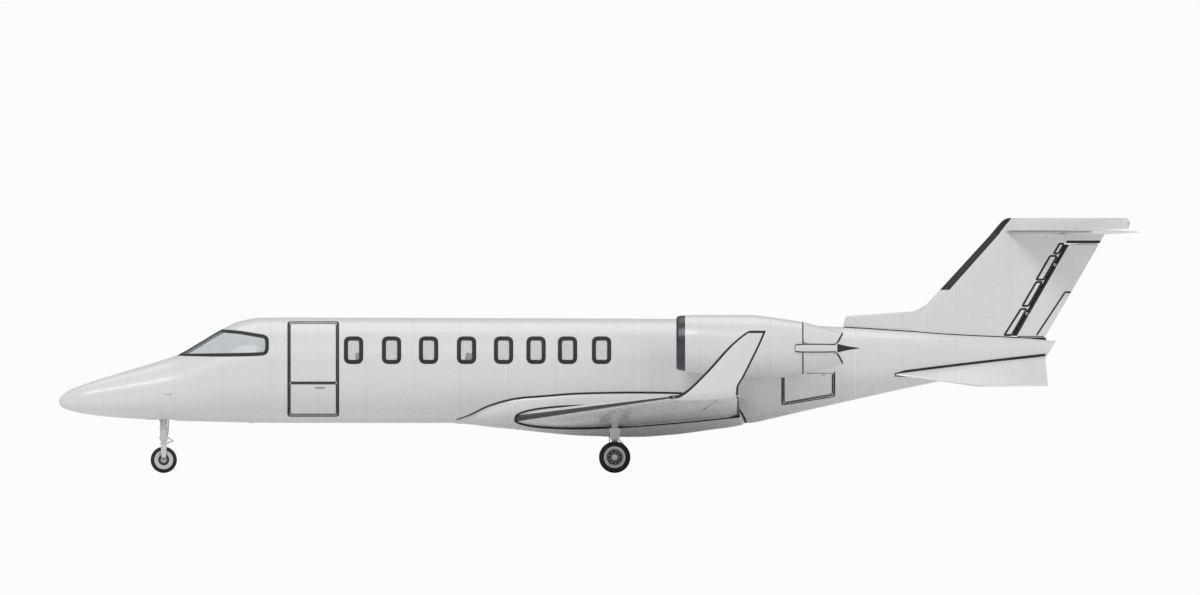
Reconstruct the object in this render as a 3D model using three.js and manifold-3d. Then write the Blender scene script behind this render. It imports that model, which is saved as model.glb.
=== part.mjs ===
// Light business jet standing on its gear.
// Millimetres. Nose towards -X, left side towards -Y, +Z up. The origin is on the ground,
// under the middle of the overall length and span.
import * as THREE from 'three';
import { mergeVertices } from 'three/addons/utils/BufferGeometryUtils.js';
import Module from 'manifold-3d';

const wasm = await Module();
wasm.setup();

// Fits and walls
const SEAM = 0.3; // gap between pieces that touch
const RUN = 7; // gap ahead of a control surface's rounded nose
const END_GAP = 12; // gap at the ends of a control surface
const DOOR_GAP = 5; // gap round a door
const PIN_FIT = 0.4; // gap round a hinge pin or an axle
const CABIN_WALL = 70; // skin, frames and lining together
const BAY_WALL = 36;
const CONE_WALL = 16;
const GLASS = 25;
const HULL_SIDES = 24;
const PIN_SIDES = 8;

// Fuselage
const FUSELAGE = [
  // x, top, bottom, half width
  [-8864, 1190, 1140, 28],
  [-8840, 1238, 1100, 76],
  [-8790, 1292, 1064, 126],
  [-8684, 1361, 1025, 188],
  [-8520, 1427, 984, 248],
  [-7864, 1640, 910, 405],
  [-7208, 1837, 869, 560],
  [-6880, 1952, 853, 635],
  [-6552, 2140, 845, 705],
  [-6191, 2353, 836, 775],
  [-5896, 2490, 830, 825],
  [-5535, 2545, 823, 857],
  [-5240, 2549, 821, 861],
  [1320, 2526, 820, 861],
  [2468, 2468, 820, 826],
  [2796, 2452, 886, 790],
  [3288, 2427, 1000, 730],
  [4272, 2378, 1222, 590],
  [4928, 2337, 1369, 480],
  [6896, 2222, 1768, 200],
  [7487, 2165, 1890, 130],
];
const RADOME_END = -8200;
const COCKPIT_FRONT = -6900;
const DOOR_FRAME = -5240; // joint between the forward fuselage and the cabin
const CABIN_END = 640;
const BULKHEAD = 80;
const BAY_END = 4150;
const CONE_START = 4200;
const CONE_HOLLOW_END = 6800;
const TAIL_TOP = [7487, 2165]; // x, z of the tail's end edge
const TAIL_FOOT = [7298, 1853];

// Cabin door, in two halves that meet at the split
const DOOR = { front: -5092, rear: -4297, top: 2468, bottom: 943, split: 1476 };
const DOOR_HINGE_ENDS = [-4930, -4460];
const AIRSTAIR_OPEN = 98; // degrees
const STEP = { width: 560, depth: 210, thickness: 22, along: [215, 430] };

// Baggage door
const BAGGAGE = { front: 3009, rear: 3837, top: 1640, frontFoot: 1131, rearFoot: 1271, rearGap: 16 };

// Glass
const WINDOWS = { centres: [-4034, -3411, -2804, -2181, -1574, -1041, -525, 33], z: 2017, width: 254, height: 396, corner: 58 };
const WINDSHIELD = [
  // x, z of the glass edge, seen from the side
  [-6945, 1937],
  [-6191, 1935],
  [-5732, 1943],
  [-5502, 1960],
  [-5453, 2017],
  [-5453, 2198],
  [-5519, 2255],
  [-5896, 2312],
  [-6191, 2337],
  [-6240, 2420],
  [-6945, 2040],
];
const WINDSHIELD_POST = 36; // half width of the centre post

// Wing/body fairing
const FAIRING = [
  // x, top, bottom, half width
  [-2370, 834, 812, 60],
  [-2124, 918, 795, 400],
  [-1796, 1074, 754, 622],
  [-1304, 1197, 705, 732],
  [-894, 1230, 660, 760],
  [-320, 1271, 612, 782],
  [600, 1287, 590, 792],
  [1238, 1279, 631, 788],
  [1800, 1200, 705, 745],
  [2304, 984, 780, 540],
  [2366, 850, 800, 200],
];
const FAIRING_POWER = 2.5;

// Wing: chord planes by half span
const WING = [
  // half span, lead x, trail x, lead z, trail z, thickness
  [600, -1395, 2304, 896, 950, 330],
  [7000, 1123, 2280, 1235, 1245, 104],
];
const FLAP = { inner: 905, outer: 4240, chord: 0.24, nose: 22, hinges: [1500, 3650] };
const AILERON = { inner: 4268, outer: 6700, chord: 0.24, hinges: [4700, 6250] };
const WINGLET = [
  // half span, z, lead x, trail x, thickness, lean of the span in degrees
  [7000.3, 1240, 1123, 2280, 104, 0],
  [7070, 1252, 1235, 2276, 98, 22],
  [7130, 1300, 1350, 2273, 88, 50],
  [7165, 1385, 1466, 2276, 72, 70],
  [7200, 1600, 1690, 2384, 58, 80],
  [7290, 2296, 2390, 2716, 30, 82],
  [7294, 2334, 2460, 2730, 20, 82],
];

// Tail
const FIN = [
  // z, lead x, trail x, thickness
  [2100, 4758, 7230, 240],
  [3935, 6436, 8296, 160],
];
const DORSAL = [
  // x, crest z, half width at the foot, half width at the crest
  [4002, 2575, 92, 62],
  [4272, 2590, 92, 56],
  [4928, 2636, 90, 44],
  [5124, 2652, 88, 40],
  [5256, 2706, 86, 34],
  [5453, 2837, 80, 26],
  [5640, 3040, 60, 16],
];
const RUDDER = { foot: [6831, 2247], head: [7690, 3750], trailFoot: [7318, 2247], trailHead: [8190, 3750], hinges: [2600, 3400] };
const RUDDER_HEAD_GAP = 36;
const STABILIZER = [
  // half span, lead x, trail x, thickness
  [0, 6650, 8350, 136],
  [2540, 7974, 8845, 64],
  [2600, 8060, 8864, 40],
];
const STABILIZER_Z = 3952;
const ELEVATOR = { inner: 150, outer: 2530, chord: 0.28, hinges: [420, 2000] };
const FIN_CAP = [
  // x, z
  [6388, 3882],
  [6585, 4116],
  [6667, 4182],
  [8655, 4182],
  [8684, 4150],
  [8684, 4004],
  [8350, 3994],
  [6700, 3960],
  [6640, 3882],
];
const FIN_CAP_HALF = 78;
const VENTRAL_ROOT = [[4846, 435, 1607], [7306, 119, 1902]]; // front and rear ends of the root
const VENTRAL_TIP = [[6240, 679, 1419], [7355, 685, 1427]];
const VENTRAL_THICKNESS = 36;

// Nacelles
const NACELLE_Y = 1560;
const NACELLE = [
  // x, top, bottom
  [1276, 2545, 1715],
  [1345, 2582, 1682],
  [1714, 2591, 1607],
  [2466, 2591, 1533],
  [2796, 2558, 1542],
  [3346, 2475, 1625],
];
const DUCT = [
  // x, centre z, radius
  [1260, 2130, 408],
  [1345, 2126, 374],
  [1650, 2066, 362],
  [1950, 2066, 362],
  [2200, 2066, 400],
  [3370, 2050, 384],
];
const NOZZLE = [
  // x, centre z, radius
  [3352, 2050, 425],
  [3993, 2046, 258],
];
const NOZZLE_WALL = 36;
const MOUTH_NOTCH = 3879; // x of the nozzle's edge at its sides
const PIVOT = { x: 3900, z: 2047, offset: 45, pin: 10, eye: 26, lug: 14, sides: 12 };
const BEAM_HALF = 78;
const PYLON = [
  // half span, lead x, trail x, thickness
  [500, 1640, 3165, 170],
  [1300, 1840, 3165, 150],
];
const PYLON_Z = 2066;
const FAN = { x: 1830, tip: 342, hub: 115, blades: 10, shaft: 40, sides: 20 };
const CORE = { front: 1990, rear: 3080, radius: 225, plugEnd: 3560, struts: 5 };

// Landing gear
const NOSE_WHEEL = { x: -7146, radius: 216, width: 150, rim: 122, axle: 20, axleSides: 16 };
const MAIN_WHEEL = { x: 249, y: 1425, radius: 258, width: 148, rim: 146, spacing: 150, axle: 28, axleSides: 16 };
const NOSE_BAY = { front: -7420, rear: -6960, half: 130, top: 1240 };
const NOSE_STRUT = { radius: 62, foot: 520, bore: 38, boreSides: 20 };
const MAIN_STRUT = { radius: 52, head: 905 };

// Jacking points: flat round pads under the nose and the wings
const JACK_PAD = { radius: 45, height: 60 };
const NOSE_JACK = [-5700, 0, 819]; // x, y, z of the pad's face
const WING_JACK = [620, 1050, 792];

const materials = {
  paint: new THREE.MeshStandardMaterial({ color: 0xf2f2f0, roughness: 0.3, metalness: 0.1 }),
  trim: new THREE.MeshStandardMaterial({ color: 0x26262a, roughness: 0.5, metalness: 0.2 }),
  metal: new THREE.MeshStandardMaterial({ color: 0xb4b7ba, roughness: 0.35, metalness: 0.9 }),
  steel: new THREE.MeshStandardMaterial({ color: 0x6e7074, roughness: 0.45, metalness: 0.8 }),
  rubber: new THREE.MeshStandardMaterial({ color: 0x191919, roughness: 0.9, metalness: 0 }),
  glass: new THREE.MeshStandardMaterial({ color: 0xcfd8dc, roughness: 0.05, metalness: 0, transparent: true, opacity: 0.4 }),
  lining: new THREE.MeshStandardMaterial({ color: 0xe6e1d6, roughness: 0.8, metalness: 0 }),
  leather: new THREE.MeshStandardMaterial({ color: 0xd9cfbd, roughness: 0.6, metalness: 0 }),
};

// Solids from three.js geometry, turned right side out
function solidOf(geometry) {
  const bare = (geometry.index ? geometry.toNonIndexed() : geometry.clone());
  bare.deleteAttribute('normal');
  bare.deleteAttribute('uv');
  const merged = mergeVertices(bare, 1e-3);
  const faces = merged.index.array;
  const [p, q, s] = [new THREE.Vector3(), new THREE.Vector3(), new THREE.Vector3()];
  let volume = 0;
  for (let i = 0; i < faces.length; i += 3) {
    [p, q, s].forEach((corner, k) => corner.fromBufferAttribute(merged.attributes.position, faces[i + k]));
    volume += p.dot(q.cross(s));
  }
  return new wasm.Manifold(new wasm.Mesh({
    numProp: 3,
    vertProperties: new Float32Array(merged.attributes.position.array),
    triVerts: volume > 0 ? new Uint32Array(faces) : new Uint32Array(faces).reverse(),
  }));
}

function geometryOf(solid) {
  const mesh = solid.getMesh();
  const geometry = new THREE.BufferGeometry();
  geometry.setAttribute('position', new THREE.BufferAttribute(new Float32Array(mesh.vertProperties), 3));
  geometry.setIndex(new THREE.BufferAttribute(new Uint32Array(mesh.triVerts), 1));
  geometry.computeVertexNormals();
  return geometry;
}

const cut = (body, ...tools) => tools.reduce((rest, tool) => rest.subtract(tool), body);
const join = (first, ...others) => others.reduce((all, one) => all.add(one), first);
const radians = (degrees) => degrees * Math.PI / 180;
const mix = (a, b, t) => a + (b - a) * t;

// The row at a place between a table's rows, straight from one row to the next
function rowAt(table, place) {
  const last = table.length - 2;
  const at = Math.max(0, Math.min(last, table.findIndex((row) => row[0] > place) - 1));
  const index = place >= table[table.length - 1][0] ? last : at;
  const [low, high] = [table[index], table[index + 1]];
  const t = (place - low[0]) / (high[0] - low[0]);
  return low.map((value, column) => mix(value, high[column], t));
}

const rowsBetween = (table, from, to) => [
  rowAt(table, from),
  ...table.filter((row) => row[0] > from + 1 && row[0] < to - 1),
  rowAt(table, to),
];

// A closed solid through rings of equally many points, flat at both ends. The diagonals lie
// the same way on both sides, so that a symmetrical body stays symmetrical.
function loft(rings) {
  const count = rings[0].length;
  const points = rings.flat();
  const faces = [];
  for (let r = 0; r + 1 < rings.length; r += 1) {
    for (let i = 0; i < count; i += 1) {
      const [a, b] = [r * count + i, r * count + (i + 1) % count];
      if (i < (count - 1) / 2) faces.push([a, b, b + count], [a, b + count, a + count]);
      else faces.push([a, b, a + count], [b, b + count, a + count]);
    }
  }
  const middle = (ring) => [0, 1, 2].map((k) => ring.reduce((sum, p) => sum + p[k], 0) / count);
  [[rings[0], 0, true], [rings[rings.length - 1], points.length - count, false]].forEach(([ring, base, first]) => {
    const centre = points.push(middle(ring)) - 1;
    for (let i = 0; i < count; i += 1) {
      const [a, b] = [base + i, base + (i + 1) % count];
      faces.push(first ? [centre, b, a] : [centre, a, b]);
    }
  });
  const geometry = new THREE.BufferGeometry();
  geometry.setAttribute('position', new THREE.Float32BufferAttribute(points.flat(), 3));
  geometry.setIndex(faces.flat());
  return solidOf(geometry);
}

function box(x0, x1, y0, y1, z0, z1) {
  const geometry = new THREE.BoxGeometry(x1 - x0, y1 - y0, z1 - z0);
  geometry.translate((x0 + x1) / 2, (y0 + y1) / 2, (z0 + z1) / 2);
  return solidOf(geometry);
}

// A side-view outline of x, z points, carried across from y0 to y1
function sidePrism(outline, y0, y1, bevel = 0) {
  const geometry = new THREE.ExtrudeGeometry(new THREE.Shape(outline.map(([x, z]) => new THREE.Vector2(x, z))), {
    depth: y1 - y0 - 2 * bevel, bevelEnabled: bevel > 0, bevelSize: bevel, bevelThickness: bevel,
    bevelOffset: -bevel, bevelSegments: 1,
  });
  geometry.rotateX(Math.PI / 2);
  geometry.translate(0, y1 - bevel, 0);
  return solidOf(geometry);
}

// A plan-view outline of x, y points, carried up from z0 to z1
function planPrism(outline, z0, z1) {
  const shape = new THREE.Shape(outline.map(([x, y]) => new THREE.Vector2(x, y)));
  const geometry = new THREE.ExtrudeGeometry(shape, { depth: z1 - z0, bevelEnabled: false });
  geometry.translate(0, 0, z0);
  return solidOf(geometry);
}

const vector = (point) => new THREE.Vector3(...point);
const along = (point, direction, distance) => vector(point).addScaledVector(vector(direction), distance).toArray();

function rod(start, end, radius, sides = 16) {
  const axis = vector(end).sub(vector(start));
  const geometry = new THREE.CylinderGeometry(radius, radius, axis.length(), sides);
  geometry.applyQuaternion(new THREE.Quaternion().setFromUnitVectors(new THREE.Vector3(0, 1, 0), axis.clone().normalize()));
  geometry.translate(...vector(start).add(vector(end)).multiplyScalar(0.5).toArray());
  return solidOf(geometry);
}

// Round a polygon with this many sides, so that its flats reach the radius
const roundOver = (radius, sides) => radius / Math.cos(Math.PI / sides);

// A bore that clears a pin of this radius at its flats
const bore = (start, end, radius, sides) => rod(start, end, roundOver(radius + PIN_FIT, sides), sides);

// A profile of radius, distance points turned about an axis through the centre
function turned(profile, centre, axis, sides) {
  const geometry = new THREE.LatheGeometry(profile.map(([r, d]) => new THREE.Vector2(r, d)), sides);
  geometry.applyQuaternion(new THREE.Quaternion().setFromUnitVectors(new THREE.Vector3(0, 1, 0), vector(axis)));
  geometry.translate(...centre);
  return solidOf(geometry);
}

const jackPad = ([x, y, z]) => rod([x, y, z], [x, y, z + JACK_PAD.height], JACK_PAD.radius, 12);

// Mirrors a solid to the other side of the aeroplane
const toSide = (solid, side) => (side > 0 ? solid : solid.mirror([0, 1, 0]));

// Fuselage pieces
const WIDE = 1200; // beyond the fuselage side

function hullRing([x, top, bottom, half], inset) {
  const [middle, height] = [(top + bottom) / 2, (top - bottom) / 2 - inset];
  return Array.from({ length: HULL_SIDES }, (_, i) => {
    const turn = 2 * Math.PI * (i + 0.5) / HULL_SIDES;
    return [x, (half - inset) * Math.sin(turn), middle + height * Math.cos(turn)];
  });
}

// The whole fuselage at an inset, kept so that every piece is cut from the same facets
const wholeHulls = new Map();
function hull(from, to, inset = 0) {
  if (!wholeHulls.has(inset)) wholeHulls.set(inset, loft(FUSELAGE.map((row) => hullRing(row, inset))));
  return wholeHulls.get(inset).intersect(box(from, to, -WIDE, WIDE, 0, 3000));
}

const hullKeepOut = hull(-8864, 7487, -SEAM);

// How far out the fuselage side stands at a place
function sideAt(x, z, inset = 0) {
  const side = hullRing(rowAt(FUSELAGE, x), inset).slice(0, HULL_SIDES / 2);
  const below = side.findIndex((point) => point[2] < z);
  const [high, low] = [side[below - 1], side[below]];
  return mix(high[1], low[1], (high[2] - z) / (high[2] - low[2]));
}

function windowOutline(centre, grow) {
  const [w, h] = [WINDOWS.width / 2 + grow, WINDOWS.height / 2 + grow];
  const c = WINDOWS.corner;
  const corners = [[-w + c, -h], [w - c, -h], [w, -h + c], [w, h - c], [w - c, h], [-w + c, h], [-w, h - c], [-w, -h + c]];
  return corners.map(([x, z]) => [centre + x, WINDOWS.z + z]);
}

// The same outline with every edge moved inwards
function inward(outline, amount) {
  const area = outline.reduce((sum, [x, z], i) => {
    const [nextX, nextZ] = outline[(i + 1) % outline.length];
    return sum + x * nextZ - nextX * z;
  }, 0);
  const normal = (from, to) => {
    const [dx, dz] = [to[0] - from[0], to[1] - from[1]];
    const scale = Math.sign(area) / Math.hypot(dx, dz);
    return [-dz * scale, dx * scale];
  };
  return outline.map((point, i) => {
    const before = normal(outline[(i + outline.length - 1) % outline.length], point);
    const after = normal(point, outline[(i + 1) % outline.length]);
    const share = amount / (1 + before[0] * after[0] + before[1] * after[1]);
    return point.map((value, k) => value + (before[k] + after[k]) * share);
  });
}

const windshieldHole = sidePrism(WINDSHIELD, WINDSHIELD_POST, WIDE);
const noseBay = box(NOSE_BAY.front, NOSE_BAY.rear, -NOSE_BAY.half, NOSE_BAY.half, 500, NOSE_BAY.top);
const forwardFuselage = cut(
  join(hull(RADOME_END + SEAM, DOOR_FRAME - SEAM), jackPad(NOSE_JACK)),
  hull(COCKPIT_FRONT, DOOR_FRAME + 10, CABIN_WALL),
  windshieldHole,
  toSide(windshieldHole, -1),
  noseBay,
);

const glassLayer = (from, to) => cut(hull(from, to), hull(from - 10, to + 10, GLASS));
const windshield = glassLayer(-6990, -5400).intersect(
  sidePrism(inward(WINDSHIELD, SEAM), WINDSHIELD_POST + SEAM, WIDE),
);

const doorOutline = (low, high, gap) => [
  [DOOR.front + gap, low], [DOOR.rear - gap, low], [DOOR.rear - gap, high], [DOOR.front + gap, high],
];
const baggageOutline = (gap, rearGap) => [
  [BAGGAGE.front + gap, BAGGAGE.frontFoot + gap], [BAGGAGE.rear - rearGap, BAGGAGE.rearFoot + gap],
  [BAGGAGE.rear - rearGap, BAGGAGE.top - gap], [BAGGAGE.front + gap, BAGGAGE.top - gap],
];

const cabinTube = cut(
  hull(DOOR_FRAME + SEAM, CABIN_END - SEAM),
  hull(DOOR_FRAME - 10, CABIN_END - BULKHEAD, CABIN_WALL),
);
const windowHoles = WINDOWS.centres.map((x) => sidePrism(windowOutline(x, 0), -WIDE, WIDE));
const cabinOpened = cut(
  cabinTube,
  ...windowHoles,
  sidePrism(doorOutline(DOOR.bottom, DOOR.top, 0), -WIDE, 0),
);

// A window row: eight panes on a rail behind their upper edges
function windowRow() {
  const panes = WINDOWS.centres.map((x) => sidePrism(windowOutline(x, -SEAM), 0, WIDE));
  const layer = cut(hull(DOOR_FRAME + 20, CABIN_END - 120, 4), hull(DOOR_FRAME, CABIN_END, CABIN_WALL));
  const first = WINDOWS.centres[0] - WINDOWS.width / 2;
  const last = WINDOWS.centres[WINDOWS.centres.length - 1] + WINDOWS.width / 2;
  const railTop = WINDOWS.z + WINDOWS.height / 2 + 45;
  const railLayer = cut(hull(first, last, CABIN_WALL + SEAM), hull(first - 10, last + 10, CABIN_WALL + 14));
  const rail = railLayer.intersect(box(first, last, 0, WIDE, railTop - 75, railTop));
  const inner = cut(hull(first, last, CABIN_WALL - 2), hull(first - 10, last + 10, CABIN_WALL + 2));
  const links = panes.map((pane) => inner.intersect(pane).intersect(box(first, last, 0, WIDE, railTop - 75, railTop)));
  return join(rail, ...panes.map((pane) => layer.intersect(pane)), ...links);
}

// Knuckle hinge at a skin edge: the fixed side has the middle knuckle and its bore,
// the moving side has the two outer knuckles and the pin
const KNUCKLE = { radius: 12, pin: 5, half: 30, clear: 3, axial: 1 };
function knuckleHinge(fixed, moving, at, axis) {
  const { radius, pin, half, clear, axial } = KNUCKLE;
  const span = (from, to, r) => rod(along(at, axis, from), along(at, axis, to), r, PIN_SIDES);
  const outer = half * 2.4;
  const hole = bore(along(at, axis, -half - 1), along(at, axis, half + 1), pin, PIN_SIDES);
  const eye = cut(span(-half, half, radius), hole);
  const outers = [span(-outer, -half - axial, radius), span(half + axial, outer, radius)];
  const sweep = [span(-outer - clear, -half, radius + clear), span(half, outer + clear, radius + clear)];
  return [
    join(cut(fixed, ...sweep, hole), eye),
    join(cut(moving, span(-half - axial, half + axial, radius + clear)), ...outers, span(-outer, outer, pin)),
  ];
}

// Cabin door halves, hinged at the skin along their top and bottom edges
const doorMiddle = (DOOR.front + DOOR.rear) / 2;
const hingeAtHeight = (z) => (x) => [x, -sideAt(doorMiddle, z), z];
const doorTopHinge = hingeAtHeight(DOOR.top - DOOR_GAP / 2);
const doorFootHinge = hingeAtHeight(DOOR.bottom + DOOR_GAP / 2);
const X_AXIS = [1, 0, 0];

// Steps stand level when the lower half lies open
function airstairSteps() {
  const [, hingeY, hingeZ] = doorFootHinge(doorMiddle);
  const lean = Math.atan2(DOOR.split - hingeZ, sideAt(doorMiddle, DOOR.split) + hingeY);
  const openLean = lean - radians(AIRSTAIR_OPEN);
  return STEP.along.map((distance) => {
    const [out, up] = [distance * Math.cos(openLean), distance * Math.sin(openLean)];
    const tread = new THREE.BoxGeometry(STEP.width, STEP.depth, STEP.thickness);
    tread.translate(0, -out + STEP.depth * 0.1, up + 92);
    const riser = new THREE.BoxGeometry(STEP.width, STEP.thickness, 190);
    riser.translate(0, -out + STEP.depth * 0.1 + 70, up + 0);
    const steps = join(solidOf(tread), solidOf(riser));
    return steps.rotate([-AIRSTAIR_OPEN, 0, 0]).translate([doorMiddle, hingeY, hingeZ]);
  });
}

const doorPanel = (low, high) => cabinTube.intersect(sidePrism(doorOutline(low, high, DOOR_GAP), -WIDE, 0));
let cabinShell = cabinOpened;
let doorUpper = doorPanel(DOOR.split + DOOR_GAP / 2, DOOR.top - DOOR_GAP);
let doorLower = join(
  doorPanel(DOOR.bottom + DOOR_GAP, DOOR.split - DOOR_GAP / 2),
  ...airstairSteps().map((step) => step.intersect(hull(DOOR.front, DOOR.rear, CABIN_WALL / 2))),
);
DOOR_HINGE_ENDS.forEach((x) => {
  [cabinShell, doorUpper] = knuckleHinge(cabinShell, doorUpper, doorTopHinge(x), X_AXIS);
  [cabinShell, doorLower] = knuckleHinge(cabinShell, doorLower, doorFootHinge(x), X_AXIS);
});

// Aft fuselage with the baggage bay, and the tail cone
const bayTube = cut(
  hull(CABIN_END + SEAM, CONE_START - SEAM),
  hull(CABIN_END + BAY_WALL, BAY_END, BAY_WALL),
);
const baggageHinges = [0.2, 0.8].map((t) => {
  const x = mix(BAGGAGE.front, BAGGAGE.rear, t);
  const z = mix(BAGGAGE.frontFoot, BAGGAGE.rearFoot, t) + DOOR_GAP / 2;
  return [x, -sideAt(x, z), z];
});
const baggageAxis = vector(baggageHinges[1]).sub(vector(baggageHinges[0])).normalize().toArray();
let aftFuselage = cut(bayTube, sidePrism(baggageOutline(0, 0), -WIDE, 0));
let baggageDoor = bayTube.intersect(sidePrism(baggageOutline(DOOR_GAP, BAGGAGE.rearGap), -WIDE, 0));
baggageHinges.forEach((at) => {
  [aftFuselage, baggageDoor] = knuckleHinge(aftFuselage, baggageDoor, at, baggageAxis);
});

const tailEnd = [TAIL_TOP, TAIL_FOOT, [TAIL_FOOT[0] - 60, TAIL_FOOT[1] - 100], [7700, 1700], [7700, 2300], [TAIL_TOP[0] + 60, 2265]];
const tailCone = cut(
  hull(CONE_START + SEAM, 7487),
  hull(CONE_START - 10, CONE_HOLLOW_END, CONE_WALL),
  sidePrism(tailEnd, -400, 400),
);

// Wing/body fairing
function fairingBody(grow) {
  return loft(FAIRING.map(([x, top, bottom, half]) => {
    const [depth, width] = [top - bottom + 2 * grow, half + grow];
    return Array.from({ length: 17 }, (_, i) => {
      const turn = Math.PI * (i / 16 - 0.5);
      const [s, c] = [Math.sin(turn), Math.cos(turn)];
      const squared = (v) => Math.sign(v) * Math.abs(v) ** (2 / FAIRING_POWER);
      return [x, width * squared(s), top + grow - depth * squared(c)];
    });
  }));
}
const fairing = cut(fairingBody(0), hullKeepOut);
const fairingKeepOut = fairingBody(SEAM);

// Half thickness of a symmetrical section, as a share of its thickness, at a share of its chord
const sectionHalf = (f) => 5 * (0.2969 * Math.sqrt(f) - 0.126 * f - 0.3516 * f ** 2 + 0.2843 * f ** 3 - 0.1036 * f ** 4);
const STATIONS = [0.015, 0.08, 0.25, 0.5, 0.75];
const TRAIL_HALF = 4;

// A section as share-of-chord, height pairs: over the top from the nose, back underneath
function sectionLoop(thickness) {
  const top = STATIONS.map((f) => [f, sectionHalf(f) * thickness + TRAIL_HALF * f]);
  const upper = [...top, [1, TRAIL_HALF]];
  const lower = upper.map(([f, h]) => [f, -h]).reverse();
  return [[0, 0], ...upper, ...lower];
}

function wingRing([y, lead, trail, leadZ, trailZ, thickness]) {
  return sectionLoop(thickness).map(([f, h]) => [mix(lead, trail, f), y, mix(leadZ, trailZ, f) + h]);
}

function wingletRing([y, z, lead, trail, thickness, lean]) {
  const [s, c] = [Math.sin(radians(lean)), Math.cos(radians(lean))];
  return sectionLoop(thickness).map(([f, h]) => [mix(lead, trail, f), y - h * s, z + h * c]);
}

// Hinge of a control surface: an arm with an eye from the fixed side, a pin across a slot
function pinHinge(fixed, moving, { at, axis, forward, reach, eye = 14, pin = 6, half = 10, behind = 6 }) {
  const side = vector(axis).cross(vector(forward));
  const plate = (from, to, wide, thick) => {
    const geometry = new THREE.BoxGeometry(to - from, 2 * wide, 2 * thick);
    geometry.translate((from + to) / 2, 0, 0);
    geometry.applyMatrix4(new THREE.Matrix4().makeBasis(vector(forward), vector(axis), side.clone().negate()));
    geometry.translate(...at);
    return solidOf(geometry);
  };
  const across = (wide, r) => rod(along(at, axis, -wide), along(at, axis, wide), r, PIN_SIDES);
  const hole = bore(along(at, axis, -half - 1), along(at, axis, half + 1), pin, PIN_SIDES);
  const arm = cut(join(across(half, eye), plate(0, reach, half, eye * 0.8)), hole);
  const slot = plate(-eye - behind, reach, half + 6, 200);
  return [join(fixed, arm), join(cut(moving, slot), across(half + 16, pin))];
}

// Control surface sections and their hinge line on the wing
function wingHinge(y, chordShare, nose) {
  const [, lead, trail, leadZ, trailZ, thickness] = rowAt(WING, y);
  const f = 1 - chordShare;
  const half = sectionHalf(f) * thickness + TRAIL_HALF * f;
  const middle = mix(leadZ, trailZ, f);
  const z = nose ? middle - half + nose : middle;
  return { x: mix(lead, trail, f), z, half, middle, nose: nose || half, trail, trailZ, top: middle + half };
}

function aileronRing(y) {
  const { x, z, half, trail, trailZ } = wingHinge(y, AILERON.chord);
  const arc = [90, 126, 162, 198, 234, 270].map((turn) => [x + half * Math.cos(radians(turn)), y, z + half * Math.sin(radians(turn))]);
  return [[trail, y, trailZ - TRAIL_HALF], [trail, y, trailZ + TRAIL_HALF], ...arc];
}

function flapRing(y) {
  const { x, z, nose, top, trail, trailZ } = wingHinge(y, FLAP.chord, FLAP.nose);
  const arc = [180, 225, 270].map((turn) => [x + nose * Math.cos(radians(turn)), y, z + nose * Math.sin(radians(turn))]);
  return [[trail, y, trailZ - TRAIL_HALF], [trail, y, trailZ + TRAIL_HALF], [x - nose, y, top], ...arc];
}

// Straight hinge line between two points of the wing
function hingeLine(spec, noseRadius) {
  const [inner, outer] = [spec.inner, spec.outer].map((y) => wingHinge(y, spec.chord, noseRadius));
  const ends = [[inner.x, spec.inner, inner.z], [outer.x, spec.outer, outer.z]];
  const axis = vector(ends[1]).sub(vector(ends[0])).normalize();
  const forward = new THREE.Vector3(-1, 0, 0).addScaledVector(axis, axis.x).normalize();
  const point = (y) => along(ends[0], axis.toArray(), (y - spec.inner) / axis.y);
  return { ends, axis: axis.toArray(), forward: forward.toArray(), point };
}

const aileronLine = hingeLine(AILERON, 0);
const flapLine = hingeLine(FLAP, FLAP.nose);
const bayBehind = (spec, noseRadius) => {
  const edge = (y) => {
    const { x, nose } = wingHinge(y, spec.chord, noseRadius);
    return x - nose - RUN;
  };
  return planPrism([
    [edge(spec.inner - END_GAP), spec.inner - END_GAP], [2600, spec.inner - END_GAP],
    [2600, spec.outer + END_GAP], [edge(spec.outer + END_GAP), spec.outer + END_GAP],
  ], 500, 1700);
};

const mainLegPocket = box(
  MAIN_WHEEL.x - MAIN_STRUT.radius - SEAM, MAIN_WHEEL.x + MAIN_STRUT.radius + SEAM,
  MAIN_WHEEL.y - MAIN_STRUT.radius - SEAM, MAIN_WHEEL.y + MAIN_STRUT.radius + SEAM,
  600, MAIN_STRUT.head + SEAM,
);
let wing = cut(
  join(loft(WING.map(wingRing)), jackPad(WING_JACK)),
  fairingKeepOut,
  bayBehind(FLAP, FLAP.nose),
  bayBehind(AILERON, 0),
  mainLegPocket,
);
let aileron = loft([AILERON.inner, AILERON.outer].map(aileronRing));
let flap = loft([FLAP.inner, FLAP.outer].map(flapRing));
AILERON.hinges.forEach((y) => {
  const reach = wingHinge(y, AILERON.chord).half + RUN + 25;
  [wing, aileron] = pinHinge(wing, aileron, { at: aileronLine.point(y), axis: aileronLine.axis, forward: aileronLine.forward, reach });
});
FLAP.hinges.forEach((y) => {
  const reach = FLAP.nose + RUN + 25;
  [wing, flap] = pinHinge(wing, flap, { at: flapLine.point(y), axis: flapLine.axis, forward: flapLine.forward, reach });
});
const winglet = loft(WINGLET.map(wingletRing));

// Stabilizer and elevators
function stabilizerRing([y, lead, trail, thickness], grow = 0) {
  return sectionLoop(thickness + 2 * grow).map(([f, h]) => [
    mix(lead - grow, trail + grow, f), y, STABILIZER_Z + h + Math.sign(h) * grow,
  ]);
}
const stabilizerRows = [
  ...[...STABILIZER].reverse().map(([y, ...rest]) => [-y, ...rest]),
  ...STABILIZER.slice(1),
];
const stabilizerKeepOut = loft(stabilizerRows.map((row) => stabilizerRing(row, SEAM)));

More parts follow.
